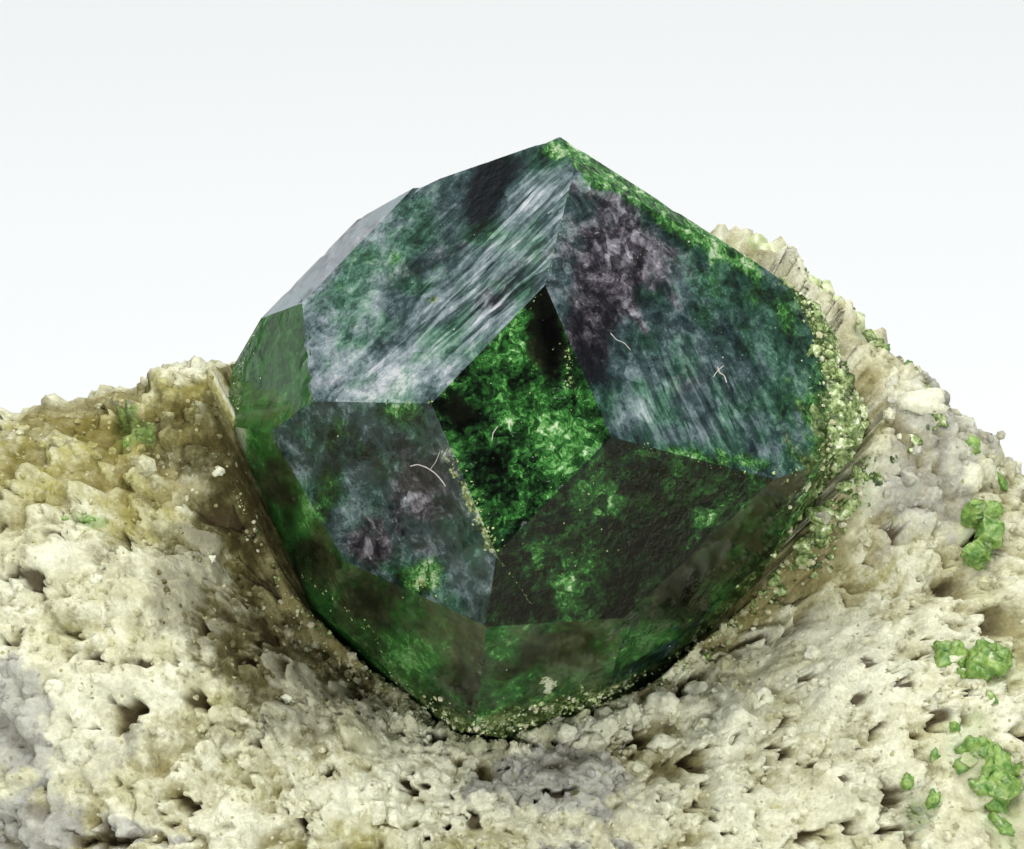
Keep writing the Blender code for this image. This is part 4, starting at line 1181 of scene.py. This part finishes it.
def crystalMaterial():
    made, tree, shader = newMaterial("deep_green_garnet")
    spot = squeezed(tree, places(tree))
    paintedSheen, green, brown, dark = marksOf(tree, "looks")
    chip, violet, rind, streaky = marksOf(tree, "extras")
    sheet = addNode(tree, "ShaderNodeUVMap", uv_map="streaks").outputs[0]
    sheet = pushed(tree, sheet, 1.2, 0.30)
    streak = noise(tree, mapped(tree, sheet, (1.2, 4.6, 1.0)), 1.0, 5.0, 0.62, 0.2)
    stroke = cellTone(tree, pushed(tree, mapped(tree, sheet, (1.4, 7.0, 1.0)), 2.0, 0.35), 1.0)
    broad = noise(tree, spot, 0.8, 2.0, 0.55)
    patch = noise(tree, mapped(tree, spot, (1.0, 1.0, 1.0), (7.0, 3.0, 5.0)), 1.5, 5.0, 0.68)
    hue = noise(tree, mapped(tree, spot, (1.0, 1.0, 1.0), (2.0, 9.0, 4.0)), 1.3, 4.0, 0.66)
    mid = noise(tree, spot, 2.3, 5.0, 0.70, 0.9)
    fine = noise(tree, spot, 7.5, 3.0, 0.72, 0.6)
    finer = noise(tree, spot, 24.0, 2.0, 0.65)
    bent = pushed(tree, spot, 4.0, 0.20)
    flake, flakeFine = cellTone(tree, bent, 5.0), cellTone(tree, bent, 13.0)

    # Painted light through the window faces, green in some places, and in others a brown painted reflection of the
    # rock
    crease = ramp(tree, sums(tree, "ABSOLUTE", sums(tree, "SUBTRACT", fine, 0.5), 0.0), 0.0, 0.05, 1.0, 0.0)
    unrest = total(tree, 0.0, (mid, 1.0), (fine, 0.8), (finer, 0.40), (broad, 0.4), (flake, 0.32), (flakeFine, 0.26),
                   (crease, -0.13))
    unrest = sums(tree, "MULTIPLY", unrest, ramp(tree, streaky, -0.8, 0.0, 0.35, 1.0))
    light = total(tree, 0.40, (green, 0.28), (dark, -0.32), (streaky, -0.08), (unrest, 1.0))
    brownReflectionLevel = total(tree, 0.42, (mid, 0.75), (fine, 0.25), (finer, 0.15), (broad, 0.5), (green, 0.15),
    (dark, -0.34),
                       (streaky, -0.10))
    brownReflectionShare = ramp(tree, total(tree, 0.22, (patch, 1.7), (brown, 0.75), (dark, 0.25), (green, -0.5)), 0.3, 0.8)
    window = blend(tree, brownReflectionShare, tones(tree, light, crystalLook["green"]),
                   tones(tree, brownReflectionLevel, crystalLook["brown"]))

    # Painted reflection on the faces: clouds of silvery blue, teal or violet sheen, drawn out into strokes on the
    # streaky parts
    drawn = total(tree, 0.0, (streak, 1.0), (stroke, 0.30))
    drawn = sums(tree, "MULTIPLY", drawn, sums(tree, "MAXIMUM", streaky, 0.0))
    cloudy = total(tree, 0.0, (mid, 1.15), (fine, 0.45), (finer, 0.30), (patch, 0.65), (flake, 0.14),
    (flakeFine, 0.10))
    cloudy = sums(tree, "MULTIPLY", cloudy, sums(
        tree, "MULTIPLY", ramp(tree, streaky, -1.0, 0.0, 0.12, 1.0), ramp(tree, streaky, 0.0, 1.5, 1.0, 0.45)))
    sheenLevel = total(tree, 0.15, (drawn, 1.0), (cloudy, 1.0), (paintedSheen, 0.46), (dark, -0.34))
    paintedReflection = blend(tree, ramp(tree, total(tree, 0.5, (hue, 1.0), (green, 0.22)), 0.48, 0.68),
                    tones(tree, sheenLevel, crystalLook["paintedSheen"]), tones(tree, sheenLevel, crystalLook["teal"]))
    mauve = total(tree, -0.05, (sheenLevel, 1.0), (mid, 1.0), (fine, 0.5), (flake, 0.2))
    paintedReflection = blend(tree, ramp(tree, total(tree, 0.0, (violet, 1.0), (patch, 1.5), (fine, 0.6)), 0.2, 0.9),
                    paintedReflection, tones(tree, mauve, crystalLook["violet"]))
    share = ramp(tree, total(tree, 0.0, (paintedSheen, 1.0), (patch, 1.4), (fine, 0.5), (green, -0.55)), 0.08, 0.44)
    tint = blend(tree, share, window, paintedReflection)

    # The crumbly rind by the rock, and chips
    crumbly = tones(tree, total(tree, 0.50, (fine, 1.3), (finer, 1.0), (mid, 1.0), (chip, 0.22), (flakeFine, 0.3),
                                (crease, -0.10)), crystalLook["rind"])
    tint = blend(tree, broken(tree, rind, mid, 0.25, 1.0, 0.8), tint, crumbly)
    tint = blend(tree, broken(tree, chip, fine, 0.65, 0.95, 1.5), tint, crumbly)
    # Painted glints: scattered bright specks on the crystal
    tint = blend(tree, speckMask(tree, spot, 4.2, 0.86, 0.055), tint, crystalLook["paintedGlint"])
    tree.links.new(tint, shader.inputs["Base Color"])
    for name, value in crystalClear.items():
        shader.inputs[name].default_value = value
    tree.links.new(ramp(tree, rind, 0.2, 1.2, 0.06, 0.6), shader.inputs["Roughness"])
    rough = noise(tree, spot, 6.5, 2.0, 0.6)
    much = total(tree, 0.10, (green, 1.2), (dark, 0.6), (brown, -0.3), (rind, 2.5), (paintedSheen, -0.4), (streaky, 0.8))
    lift = sums(tree, "MULTIPLY", rough, ramp(tree, much, 0.0, 1.6, 0.0, 1.5))
    addBump(tree, shader, lift, 1.0, 0.03)
    inside = addNode(tree, "ShaderNodeVolumeAbsorption", crystalDepth)
    tree.links.new(inside.outputs[0], tree.nodes["Material Output"].inputs["Volume"])
    return made


# Small green garnets
grainLook = {"light": (0.22, 0.34, 0.07, 1), "green": (0.075, 0.18, 0.03, 1), "pale": (0.48, 0.52, 0.28, 1)}
chipLook = {"light": (0.40, 0.46, 0.20, 1), "green": (0.11, 0.19, 0.035, 1)}
milkyLook = {"milky": (0.70, 0.72, 0.50, 1), "green": (0.40, 0.50, 0.20, 1)}
lintLook = {"dull": (0.42, 0.33, 0.25, 1), "white": (0.75, 0.75, 0.72, 1)}


def grainMaterial():
    made, tree, shader = newMaterial("small_green_garnet")
    spot = places(tree)
    tint = blend(tree, patchMask(tree, spot, 6.0, 0.35, 0.65), grainLook["green"], grainLook["light"])
    tint = blend(tree, patchMask(tree, spot, 6.5, 0.52, 0.80), tint, grainLook["pale"])
    tree.links.new(tint, shader.inputs["Base Color"])
    wanderRough(tree, shader, noise(tree, spot, 6.0), 0.12, 0.4)
    addBump(tree, shader, noise(tree, spot, 9.0), 0.9, 0.04)
    return made


# Broken flakes of garnet on the crystal's edges: pale, dull, green in places
def chipMaterial():
    made, tree, shader = newMaterial("pale_garnet_chips")
    spot = places(tree)
    tint = blend(tree, patchMask(tree, spot, 9.0, 0.38, 0.62), chipLook["light"], chipLook["green"])
    tree.links.new(tint, shader.inputs["Base Color"])
    wanderRough(tree, shader, noise(tree, spot, 14.0), 0.25, 0.6)
    return made


# The rim's crumbly mix of pale, yellow-green and dark green garnet
def rindMaterial():
    made, tree, shader = newMaterial("crumbly_garnet_rind")
    spot = places(tree)
    rough = noise(tree, spot, 9.0, 3.0, 0.65)
    level = total(tree, 0.60, (noise(tree, spot, 2.6, 4.0, 0.65), 1.5), (rough, 1.3),
                  (cellTone(tree, pushed(tree, spot, 4.0, 0.2), 9.0), 0.3))
    tree.links.new(tones(tree, level, crystalLook["rind"]), shader.inputs["Base Color"])
    wanderRough(tree, shader, rough, 0.2, 0.6)
    addBump(tree, shader, rough, 1.0, 0.06)
    return made


# Pale, milky knobs on the rock's skyline and beside the crystal
def knobMaterial():
    made, tree, shader = newMaterial("pale_milky_knobs")
    spot = places(tree)
    tint = blend(tree, patchMask(tree, spot, 4.0, 0.35, 0.7), milkyLook["milky"], milkyLook["green"])
    tree.links.new(tint, shader.inputs["Base Color"])
    wanderRough(tree, shader, noise(tree, spot, 8.0), 0.25, 0.5)
    addBump(tree, shader, noise(tree, spot, 9.0), 0.6, 0.04)
    return made


# Lint: fine hairs, white to pinkish
def lintMaterial():
    made, tree, shader = newMaterial("lint")
    tint = blend(tree, noise(tree, places(tree), 2.0), lintLook["dull"], lintLook["white"])
    tree.links.new(tint, shader.inputs["Base Color"])
    shader.inputs["Roughness"].default_value = 0.8
    return made


print("materials")
rockFinish, crystalFinish, grainFinish = rockMaterial(), crystalMaterial(), grainMaterial()
chipFinish, knobFinish, lintFinish, rindFinish = chipMaterial(), knobMaterial(), lintMaterial(), rindMaterial()


# A piece's finish, and the body that it rides
def dress(piece, finish):
    piece.data.materials.append(finish)
    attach(piece, "root")
    return piece


for piece in rockPieces:
    dress(piece, rockFinish)
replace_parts(rockPieces[0], "matrix_rock")
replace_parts(dress(crystalPiece, crystalFinish), "garnet_crystal")

crust = {"bevel": 0.04, "cuts": 3, "shrink": 0.84, "relief": 0.10, "grain": 0.2}


# The small garnets' own solids, joined and drawn in a little, with worn edges and an uneven skin
def crustPiece(node, name):
    work = wornSolid(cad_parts[node], crust["bevel"])
    bmesh.ops.triangulate(work, faces=work.faces)
    bmesh.ops.subdivide_edges(work, edges=work.edges, cuts=crust["cuts"], use_grid_fill=True)
    middle = sum((v.co for v in work.verts), Vector()) / len(work.verts)
    bmesh.ops.scale(work, verts=work.verts, vec=[crust["shrink"]] * 3, space=Matrix.Translation(-middle))
    bmesh.ops.triangulate(work, faces=work.faces)
    mesh = bpy.data.meshes.new(name)
    work.to_mesh(mesh)
    work.free()
    points, outward = readRows(mesh.vertices, "co") / mm, readRows(mesh.vertices, "normal")
    points += outward * (crust["relief"] * roughNoise(points / crust["grain"], 1200, 3))[:, None]
    movePoints(mesh, points)
    piece = dress(placed(name, mesh), grainFinish)
    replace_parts(piece, node)
    return piece


for place in ("upper", "middle", "lower"):
    crustPiece(f"garnet_crust_{place}", f"garnet_grains_{place}")


# Where sight lines first meet the specimen, and the way out of it there: the crystal's face, or the rock's own
# surface, which is found twice so that its relief doesn't carry the place aside in the picture
def onSpecimen(pixels):
    pixels = np.atleast_2d(np.array(pixels, float))
    gem, face = onCrystal(pixels)
    aim = pixels
    for _ in range(2):
        ways = onRock(aim) - rockCentre
        ways /= np.linalg.norm(ways, axis=1)[:, None]
        stone = rockSurface(ways)[0]
        aim = aim + (pixels - pixelsOf(stone))
    nearer = (pastCrystal(gem) < 0.02) & (gem @ toCamera > stone @ toCamera - 0.02)
    return np.where(nearer[:, None], gem, stone), np.where(nearer[:, None], crystalNormals[face], ways)


# Random pixels beside a line of the picture: even along it, bell-shaped across it, with a grain size for each
def besideLine(line, chance):
    line = np.array(line, float)
    step = line[1:, :2] - line[:-1, :2]
    long = np.linalg.norm(step, axis=1)
    counts = np.round(long * (line[1:, 3] + line[:-1, 3]) / 200).astype(int)
    part = np.repeat(np.arange(len(step)), counts)
    t = chance.uniform(0, 1, len(part))[:, None]
    values = line[part] * (1 - t) + line[part + 1] * t
    across = np.stack([-step[part, 1], step[part, 0]], axis=1) / long[part][:, None]
    pixels = values[:, :2] + across * (chance.normal(size=len(part)) * values[:, 2])[:, None]
    return pixels, values[:, 4] * (0.2 + 0.8 * chance.uniform(0, 1, len(part)) ** 2.2)


chipLines = (
    ((445, 448, 3, 70, 0.022), (462, 478, 4, 100, 0.026), (480, 505, 5, 100, 0.026), (497, 552, 4, 90, 0.024)),
    ((566, 345, 2, 60, 0.022), (574, 392, 3, 60, 0.025)),
    ((405, 600, 4, 40, 0.026), (425, 578, 6, 50, 0.03), (445, 590, 4, 40, 0.026)),
    ((640, 447, 2, 14, 0.018), (700, 462, 3, 22, 0.02), (775, 474, 5, 50, 0.03), (800, 468, 5, 40, 0.03)),
    ((311, 401, 1.5, 14, 0.014), (432, 402, 2, 24, 0.02), (470, 370, 1.5, 14, 0.014), (545, 290, 1.5, 14, 0.014)),
    ((495, 553, 0.7, 90, 0.010), (532, 605, 0.7, 90, 0.010)),
    ((548, 285, 1.5, 30, 0.013), (556, 240, 2, 40, 0.016), (572, 170, 2, 30, 0.013)),
    ((300, 575, 1.5, 60, 0.02), (340, 605, 2, 60, 0.02), (375, 637, 2, 60, 0.022), (400, 690, 3, 40, 0.025)),
    ((520, 350, 20, 18, 0.014), (560, 470, 34, 60, 0.016), (600, 560, 34, 24, 0.014)),
    ((330, 330, 30, 16, 0.014), (470, 220, 34, 20, 0.014)), ((600, 240, 30, 16, 0.014), (760, 400, 40, 16, 0.014)),
)
rindLook = {"seed": 31, "green": 0.75, "proud": 0.15}


# Grains of garnet and of rock along the crystal's rim, and pale flakes on its chipped edges
def rindPieces():
    chance = np.random.default_rng(rindLook["seed"])
    pixels, sizes = besideLine(rim[:, [0, 1, 4, 5, 6]], chance)
    seats, ways = onSpecimen(pixels)
    seats += ways * (sizes * rindLook["proud"])[:, None]
    roomy = (seats > boxLimit[0] + sizes[:, None]) & (seats < boxLimit[1] - sizes[:, None])
    seats, sizes = seats[roomy.all(axis=1)], sizes[roomy.all(axis=1)]
    green = chance.uniform(0, 1, len(seats)) < rindLook["green"]
    grains = grainCloud("rind_garnets", seats[green], sizes[green] * 0.9, lumpShape, lumpFaces, 41, 0.45, 0.25)
    dress(grains, rindFinish)
    rockGrains = grainCloud("rind_crumbs", seats[~green], sizes[~green], lumpShape, lumpFaces, 42, 0.4, 0.3)
    marks = np.zeros((np.count_nonzero(~green), 4))
    marks[:, 2] = 0.9 * chance.uniform(0, 1, len(marks))
    marks[:, 3] = 0.8 * chance.uniform(0, 1, len(marks))
    paintMarks(rockGrains, "tints", np.repeat(marks, len(lumpShape), axis=0))
    paintMarks(rockGrains, "pores", np.zeros((len(marks) * len(lumpShape), 4)))
    dress(rockGrains, rockFinish)
    picked = [besideLine(line, chance) for line in chipLines]
    seats, ways = onSpecimen(np.concatenate([p for p, _ in picked]))
    sizes = np.concatenate([s for _, s in picked])
    flakes = grainCloud("crystal_chips", seats, sizes, rhombShape, rhombFaces, 43, 0.5, 0.3)
    dress(flakes, chipFinish)


# Knobs: pixel across and down, size in millimetres, how much longer than wide, turn in the picture
whiteKnobs = (
    (618, 722, 0.27, 1.2, 60), (632, 728, 0.18, 1.3, 0), (641, 727, 0.12, 1.3, 0), (552, 724, 0.18, 1.2, 60),
    (568, 733, 0.13, 1.0, 0), (700, 690, 0.20, 1.2, 0), (590, 745, 0.16, 1.3, 0), (660, 745, 0.18, 1.2, 30),
    (735, 722, 0.26, 1.2, 20), (232, 530, 0.09, 1.1, 0), (220, 475, 0.07, 1.2, 0), (213, 562, 0.06, 1.0, 0),
    (120, 552, 0.09, 1.5, 10), (95, 578, 0.08, 1.2, 0), (845, 592, 0.12, 1.1, 0), (290, 702, 0.10, 1.0, 0),
    (770, 700, 0.16, 1.2, 40), (815, 655, 0.14, 1.0, 0), (925, 400, 0.20, 1.8, 10), (60, 690, 0.12, 1.4, 0),
)
clearKnobs = (
    (757, 246, 0.19, 1.2, 70), (770, 252, 0.15, 1.0, 0), (746, 254, 0.11, 1.3, 0), (812, 286, 0.15, 1.2, 60),
    (826, 288, 0.21, 1.3, 60), (841, 303, 0.20, 1.2, 80), (848, 322, 0.14, 1.0, 0), (838, 345, 0.13, 1.2, 60),
    (848, 365, 0.11, 1.3, 80), (858, 388, 0.10, 1.3, 80), (866, 372, 0.08, 1.8, 60), (880, 378, 0.07, 2.0, 60),
    (790, 276, 0.10, 1.0, 0), (862, 412, 0.08, 1.4, 80), (858, 440, 0.08, 1.3, 70),
)
greenKnobs = (
    (962, 430, 0.09, 1.6, -50), (972, 444, 0.10, 1.5, -50), (1002, 482, 0.09, 1.8, -60), (1010, 500, 0.07, 1.4, -60),
    (972, 545, 0.08, 1.8, 80), (978, 528, 0.06, 1.2, 0), (945, 647, 0.09, 1.1, 0), (957, 662, 0.12, 1.4, 70),
    (955, 676, 0.07, 1.2, 0), (990, 636, 0.07, 1.4, -20), (988, 700, 0.05, 3.0, -55), (935, 731, 0.08, 1.1, 0),
    (933, 757, 0.10, 1.3, 80), (905, 782, 0.09, 1.4, 80), (938, 800, 0.12, 1.6, 80), (972, 765, 0.12, 1.2, 0),
    (980, 786, 0.14, 1.3, -40), (1000, 806, 0.13, 1.8, -45), (1016, 825, 0.12, 1.8, -45), (680, 786, 0.06, 1.2, 0),
    (90, 520, 0.07, 2.0, 10), (70, 524, 0.04, 1.6, 0), (126, 440, 0.04, 2.0, 60), (872, 370, 0.09, 2.2, 60),
    (888, 385, 0.07, 2.0, 60), (706, 660, 0.06, 1.2, 0),
)
# The thick rind along the crystal's right rim: pixel across and down, spread in pixels, lumps in 100 pixels,
# the largest one's size in millimetres
rindLine = (
    (772, 582, 4, 30, 0.08), (796, 556, 6, 60, 0.11), (824, 512, 9, 90, 0.13), (844, 460, 11, 100, 0.14),
    (848, 415, 11, 100, 0.14), (843, 375, 9, 90, 0.13), (830, 335, 7, 70, 0.12), (812, 300, 5, 40, 0.10),
)
knobLook = {"levels": 3, "rough": 0.20}


# Closed uneven balls at given pixels: a round ball with its radius swayed by noise, drawn long one way
def knobPiece(name, spots, seed, sunk=0.35):
    work = bmesh.new()
    bmesh.ops.create_icosphere(work, subdivisions=knobLook["levels"], radius=1.0)
    ball = np.array([v.co[:] for v in work.verts])
    faces = np.array([[v.index for v in f.verts] for f in work.faces])
    work.free()
    seats, ways = onSpecimen([s[:2] for s in spots])
    points = []
    for (_, _, size, long, turn), seat, way in zip(spots, seats, ways):
        sway = roughNoise(ball * 1.4 + seed + len(points) * 5.1, 1300, 4)
        shape = ball * (1 + 2.2 * knobLook["rough"] * sway)[:, None]
        turn = math.radians(turn)
        along = math.cos(turn) * toRight + math.sin(turn) * toUp
        shape = shape + (shape @ along)[:, None] * along * (long - 1)
        points.append(seat - way * size * sunk + shape * size)
    rows = (faces[None] + np.arange(len(points))[:, None, None] * len(ball)).reshape(-1, 3)
    return meshPiece(name, np.concatenate(points), [rows])


# Knobs scattered along a line, of mixed sizes and lengths
def lineKnobs(line, seed):
    chance = np.random.default_rng(seed)
    pixels, sizes = besideLine(line, chance)
    return [(x, y, size, chance.uniform(1.0, 1.8), chance.uniform(0, 180)) for (x, y), size in zip(pixels, sizes)]


# A closed tube from rings of points and two end points
def tubePiece(name, rings, first, last):
    count, sides = rings.shape[:2]
    index = np.arange(count * sides).reshape(count, sides)
    turned = np.roll(index, -1, axis=1)
    quads = np.stack([index[:-1], turned[:-1], turned[1:], index[1:]], axis=-1).reshape(-1, 4)
    start = np.stack([turned[0], index[0], np.full(sides, count * sides)], axis=1)
    end = np.stack([index[-1], turned[-1], np.full(sides, count * sides + 1)], axis=1)
    points = np.concatenate([rings.reshape(-1, 3), [first], [last]])
    return meshPiece(name, points, [quads, np.concatenate([start, end])])


# A hair lying on the crystal: a six-sided tube through given pixels, just above the faces, with closed ends
def hairPiece(name, pixels, thick):
    seats, ways = onSpecimen(pixels)
    t = np.linspace(0, len(pixels) - 1, 8 * len(pixels))
    line = np.stack([np.interp(t, np.arange(len(pixels)), seats[:, k]) for k in range(3)], axis=1)
    for _ in range(6):
        line[1:-1] = (line[:-2] + line[1:-1] * 2 + line[2:]) / 4
    line += ways.mean(axis=0) * thick * 1.2
    ahead = np.gradient(line, axis=0)
    ahead /= np.linalg.norm(ahead, axis=1)[:, None]
    side = np.cross(ahead, ways.mean(axis=0))
    side /= np.linalg.norm(side, axis=1)[:, None]
    lift = np.cross(side, ahead)
    angle = np.arange(6) * math.pi / 3
    ring = np.cos(angle)[None, :, None] * side[:, None, :] + np.sin(angle)[None, :, None] * lift[:, None, :]
    return tubePiece(name, line[:, None, :] + ring * thick, line[0], line[-1])


hairs = {
    "lint_long": (((411, 466), (418, 464), (427, 467), (436, 473), (443, 481), (446, 486)), 0.008),
    "lint_branch": (((430, 470), (436, 462), (440, 452)), 0.004),
    "lint_right": (((717, 367), (719, 373), (724, 376), (726, 383)), 0.008),
    "lint_right_fork": (((713, 377), (717, 371), (723, 366)), 0.006),
    "lint_front": (((498, 426), (493, 433), (492, 441)), 0.005),
    "lint_upper": (((610, 333), (616, 340), (624, 343), (630, 350)), 0.005),
}

print("rind, knobs and lint")
rindPieces()
whitePiece = dress(knobPiece("white_knobs", whiteKnobs, 1.0), rockFinish)
paintMarks(whitePiece, "tints", np.zeros((len(whitePiece.data.vertices), 4)))
paintMarks(whitePiece, "pores", np.tile((0.0, 1.2, 0.0, 0.0), (len(whitePiece.data.vertices), 1)))
dress(knobPiece("clear_knobs", clearKnobs, 2.0), knobFinish)
dress(knobPiece("green_knobs", greenKnobs, 3.0, 0.55), grainFinish)
dress(knobPiece("rind_lumps", lineKnobs(rindLine, 61), 4.0), rindFinish)
for name, (pixels, thick) in hairs.items():
    dress(hairPiece(name, pixels, thick), lintFinish)

# Floor, light and camera
stage = {
    "floor": 1.2, "floorColour": (0.655, 0.67, 0.67, 1), "roomColour": (0.97, 0.99, 1.0, 1),
    "roomDim": 0.05, "roomBright": 0.28, "aim": (0, 0, 6),
}
floorMesh = bpy.data.meshes.new("floor")
half = stage["floor"]
floorMesh.from_pydata([(-half, -half, 0), (half, -half, 0), (half, half, 0), (-half, half, 0)], [], [(0, 1, 2, 3)])
floor = placed("floor", floorMesh)
floorFinish, _, floorShader = newMaterial("pale_floor")
floorShader.inputs["Base Color"].default_value = stage["floorColour"]
floorShader.inputs["Roughness"].default_value = 0.9
floorShader.inputs["Specular IOR Level"].default_value = 0.1
floorMesh.materials.append(floorFinish)

# Name, place in millimetres, width, height, power in watts; each lamp faces the specimen
lamps = (
    ("lamp_above", (0, 22, 110), 120, 100, 0.13),
    ("lamp_front_left", (-80, -62, 78), 46, 46, 0.05),
    ("lamp_front_right", (78, -66, 82), 46, 46, 0.06),
    ("lamp_high_front", (6, -48, 118), 50, 40, 0.05),
    ("lamp_low_front", (10, -120, 8), 70, 30, 0.09),
)
for name, place, wide, tall, power in lamps:
    data = bpy.data.lights.new(name, "AREA")
    data.shape = "RECTANGLE"
    data.size, data.size_y = wide * mm, tall * mm
    data.energy = power
    lamp = placed(name, data)
    lamp.location = Vector(place) * mm
    lamp.rotation_euler = (Vector(stage["aim"]) - Vector(place)).to_track_quat("-Z", "Y").to_euler()

# A light room behind and above, darker behind the camera
world = bpy.data.worlds.new("room")
scene.world = world
world.use_nodes = True
roomTree = world.node_tree
roomWay = addNode(roomTree, "ShaderNodeTexCoord").outputs["Generated"]
roomPart = addNode(roomTree, "ShaderNodeSeparateXYZ", {0: roomWay})
backness = ramp(roomTree, roomPart.outputs["Y"], -0.5, 0.6, stage["roomDim"], stage["roomBright"])
background = roomTree.nodes["Background"]
background.inputs["Color"].default_value = stage["roomColour"]
roomTree.links.new(backness, background.inputs["Strength"])
scene.view_settings.view_transform = "Standard"

cameraData = bpy.data.cameras.new("camera")
cameraData.lens = view["lens"]
cameraData.sensor_width = 36
cameraData.clip_start, cameraData.clip_end = 0.001, 10
camera = placed("camera", cameraData)
camera.matrix_world = Matrix.Translation(Vector(eye) * mm) @ Matrix.Rotation(math.pi / 2 - tilt, 4, "X")
scene.camera = camera

print("done")
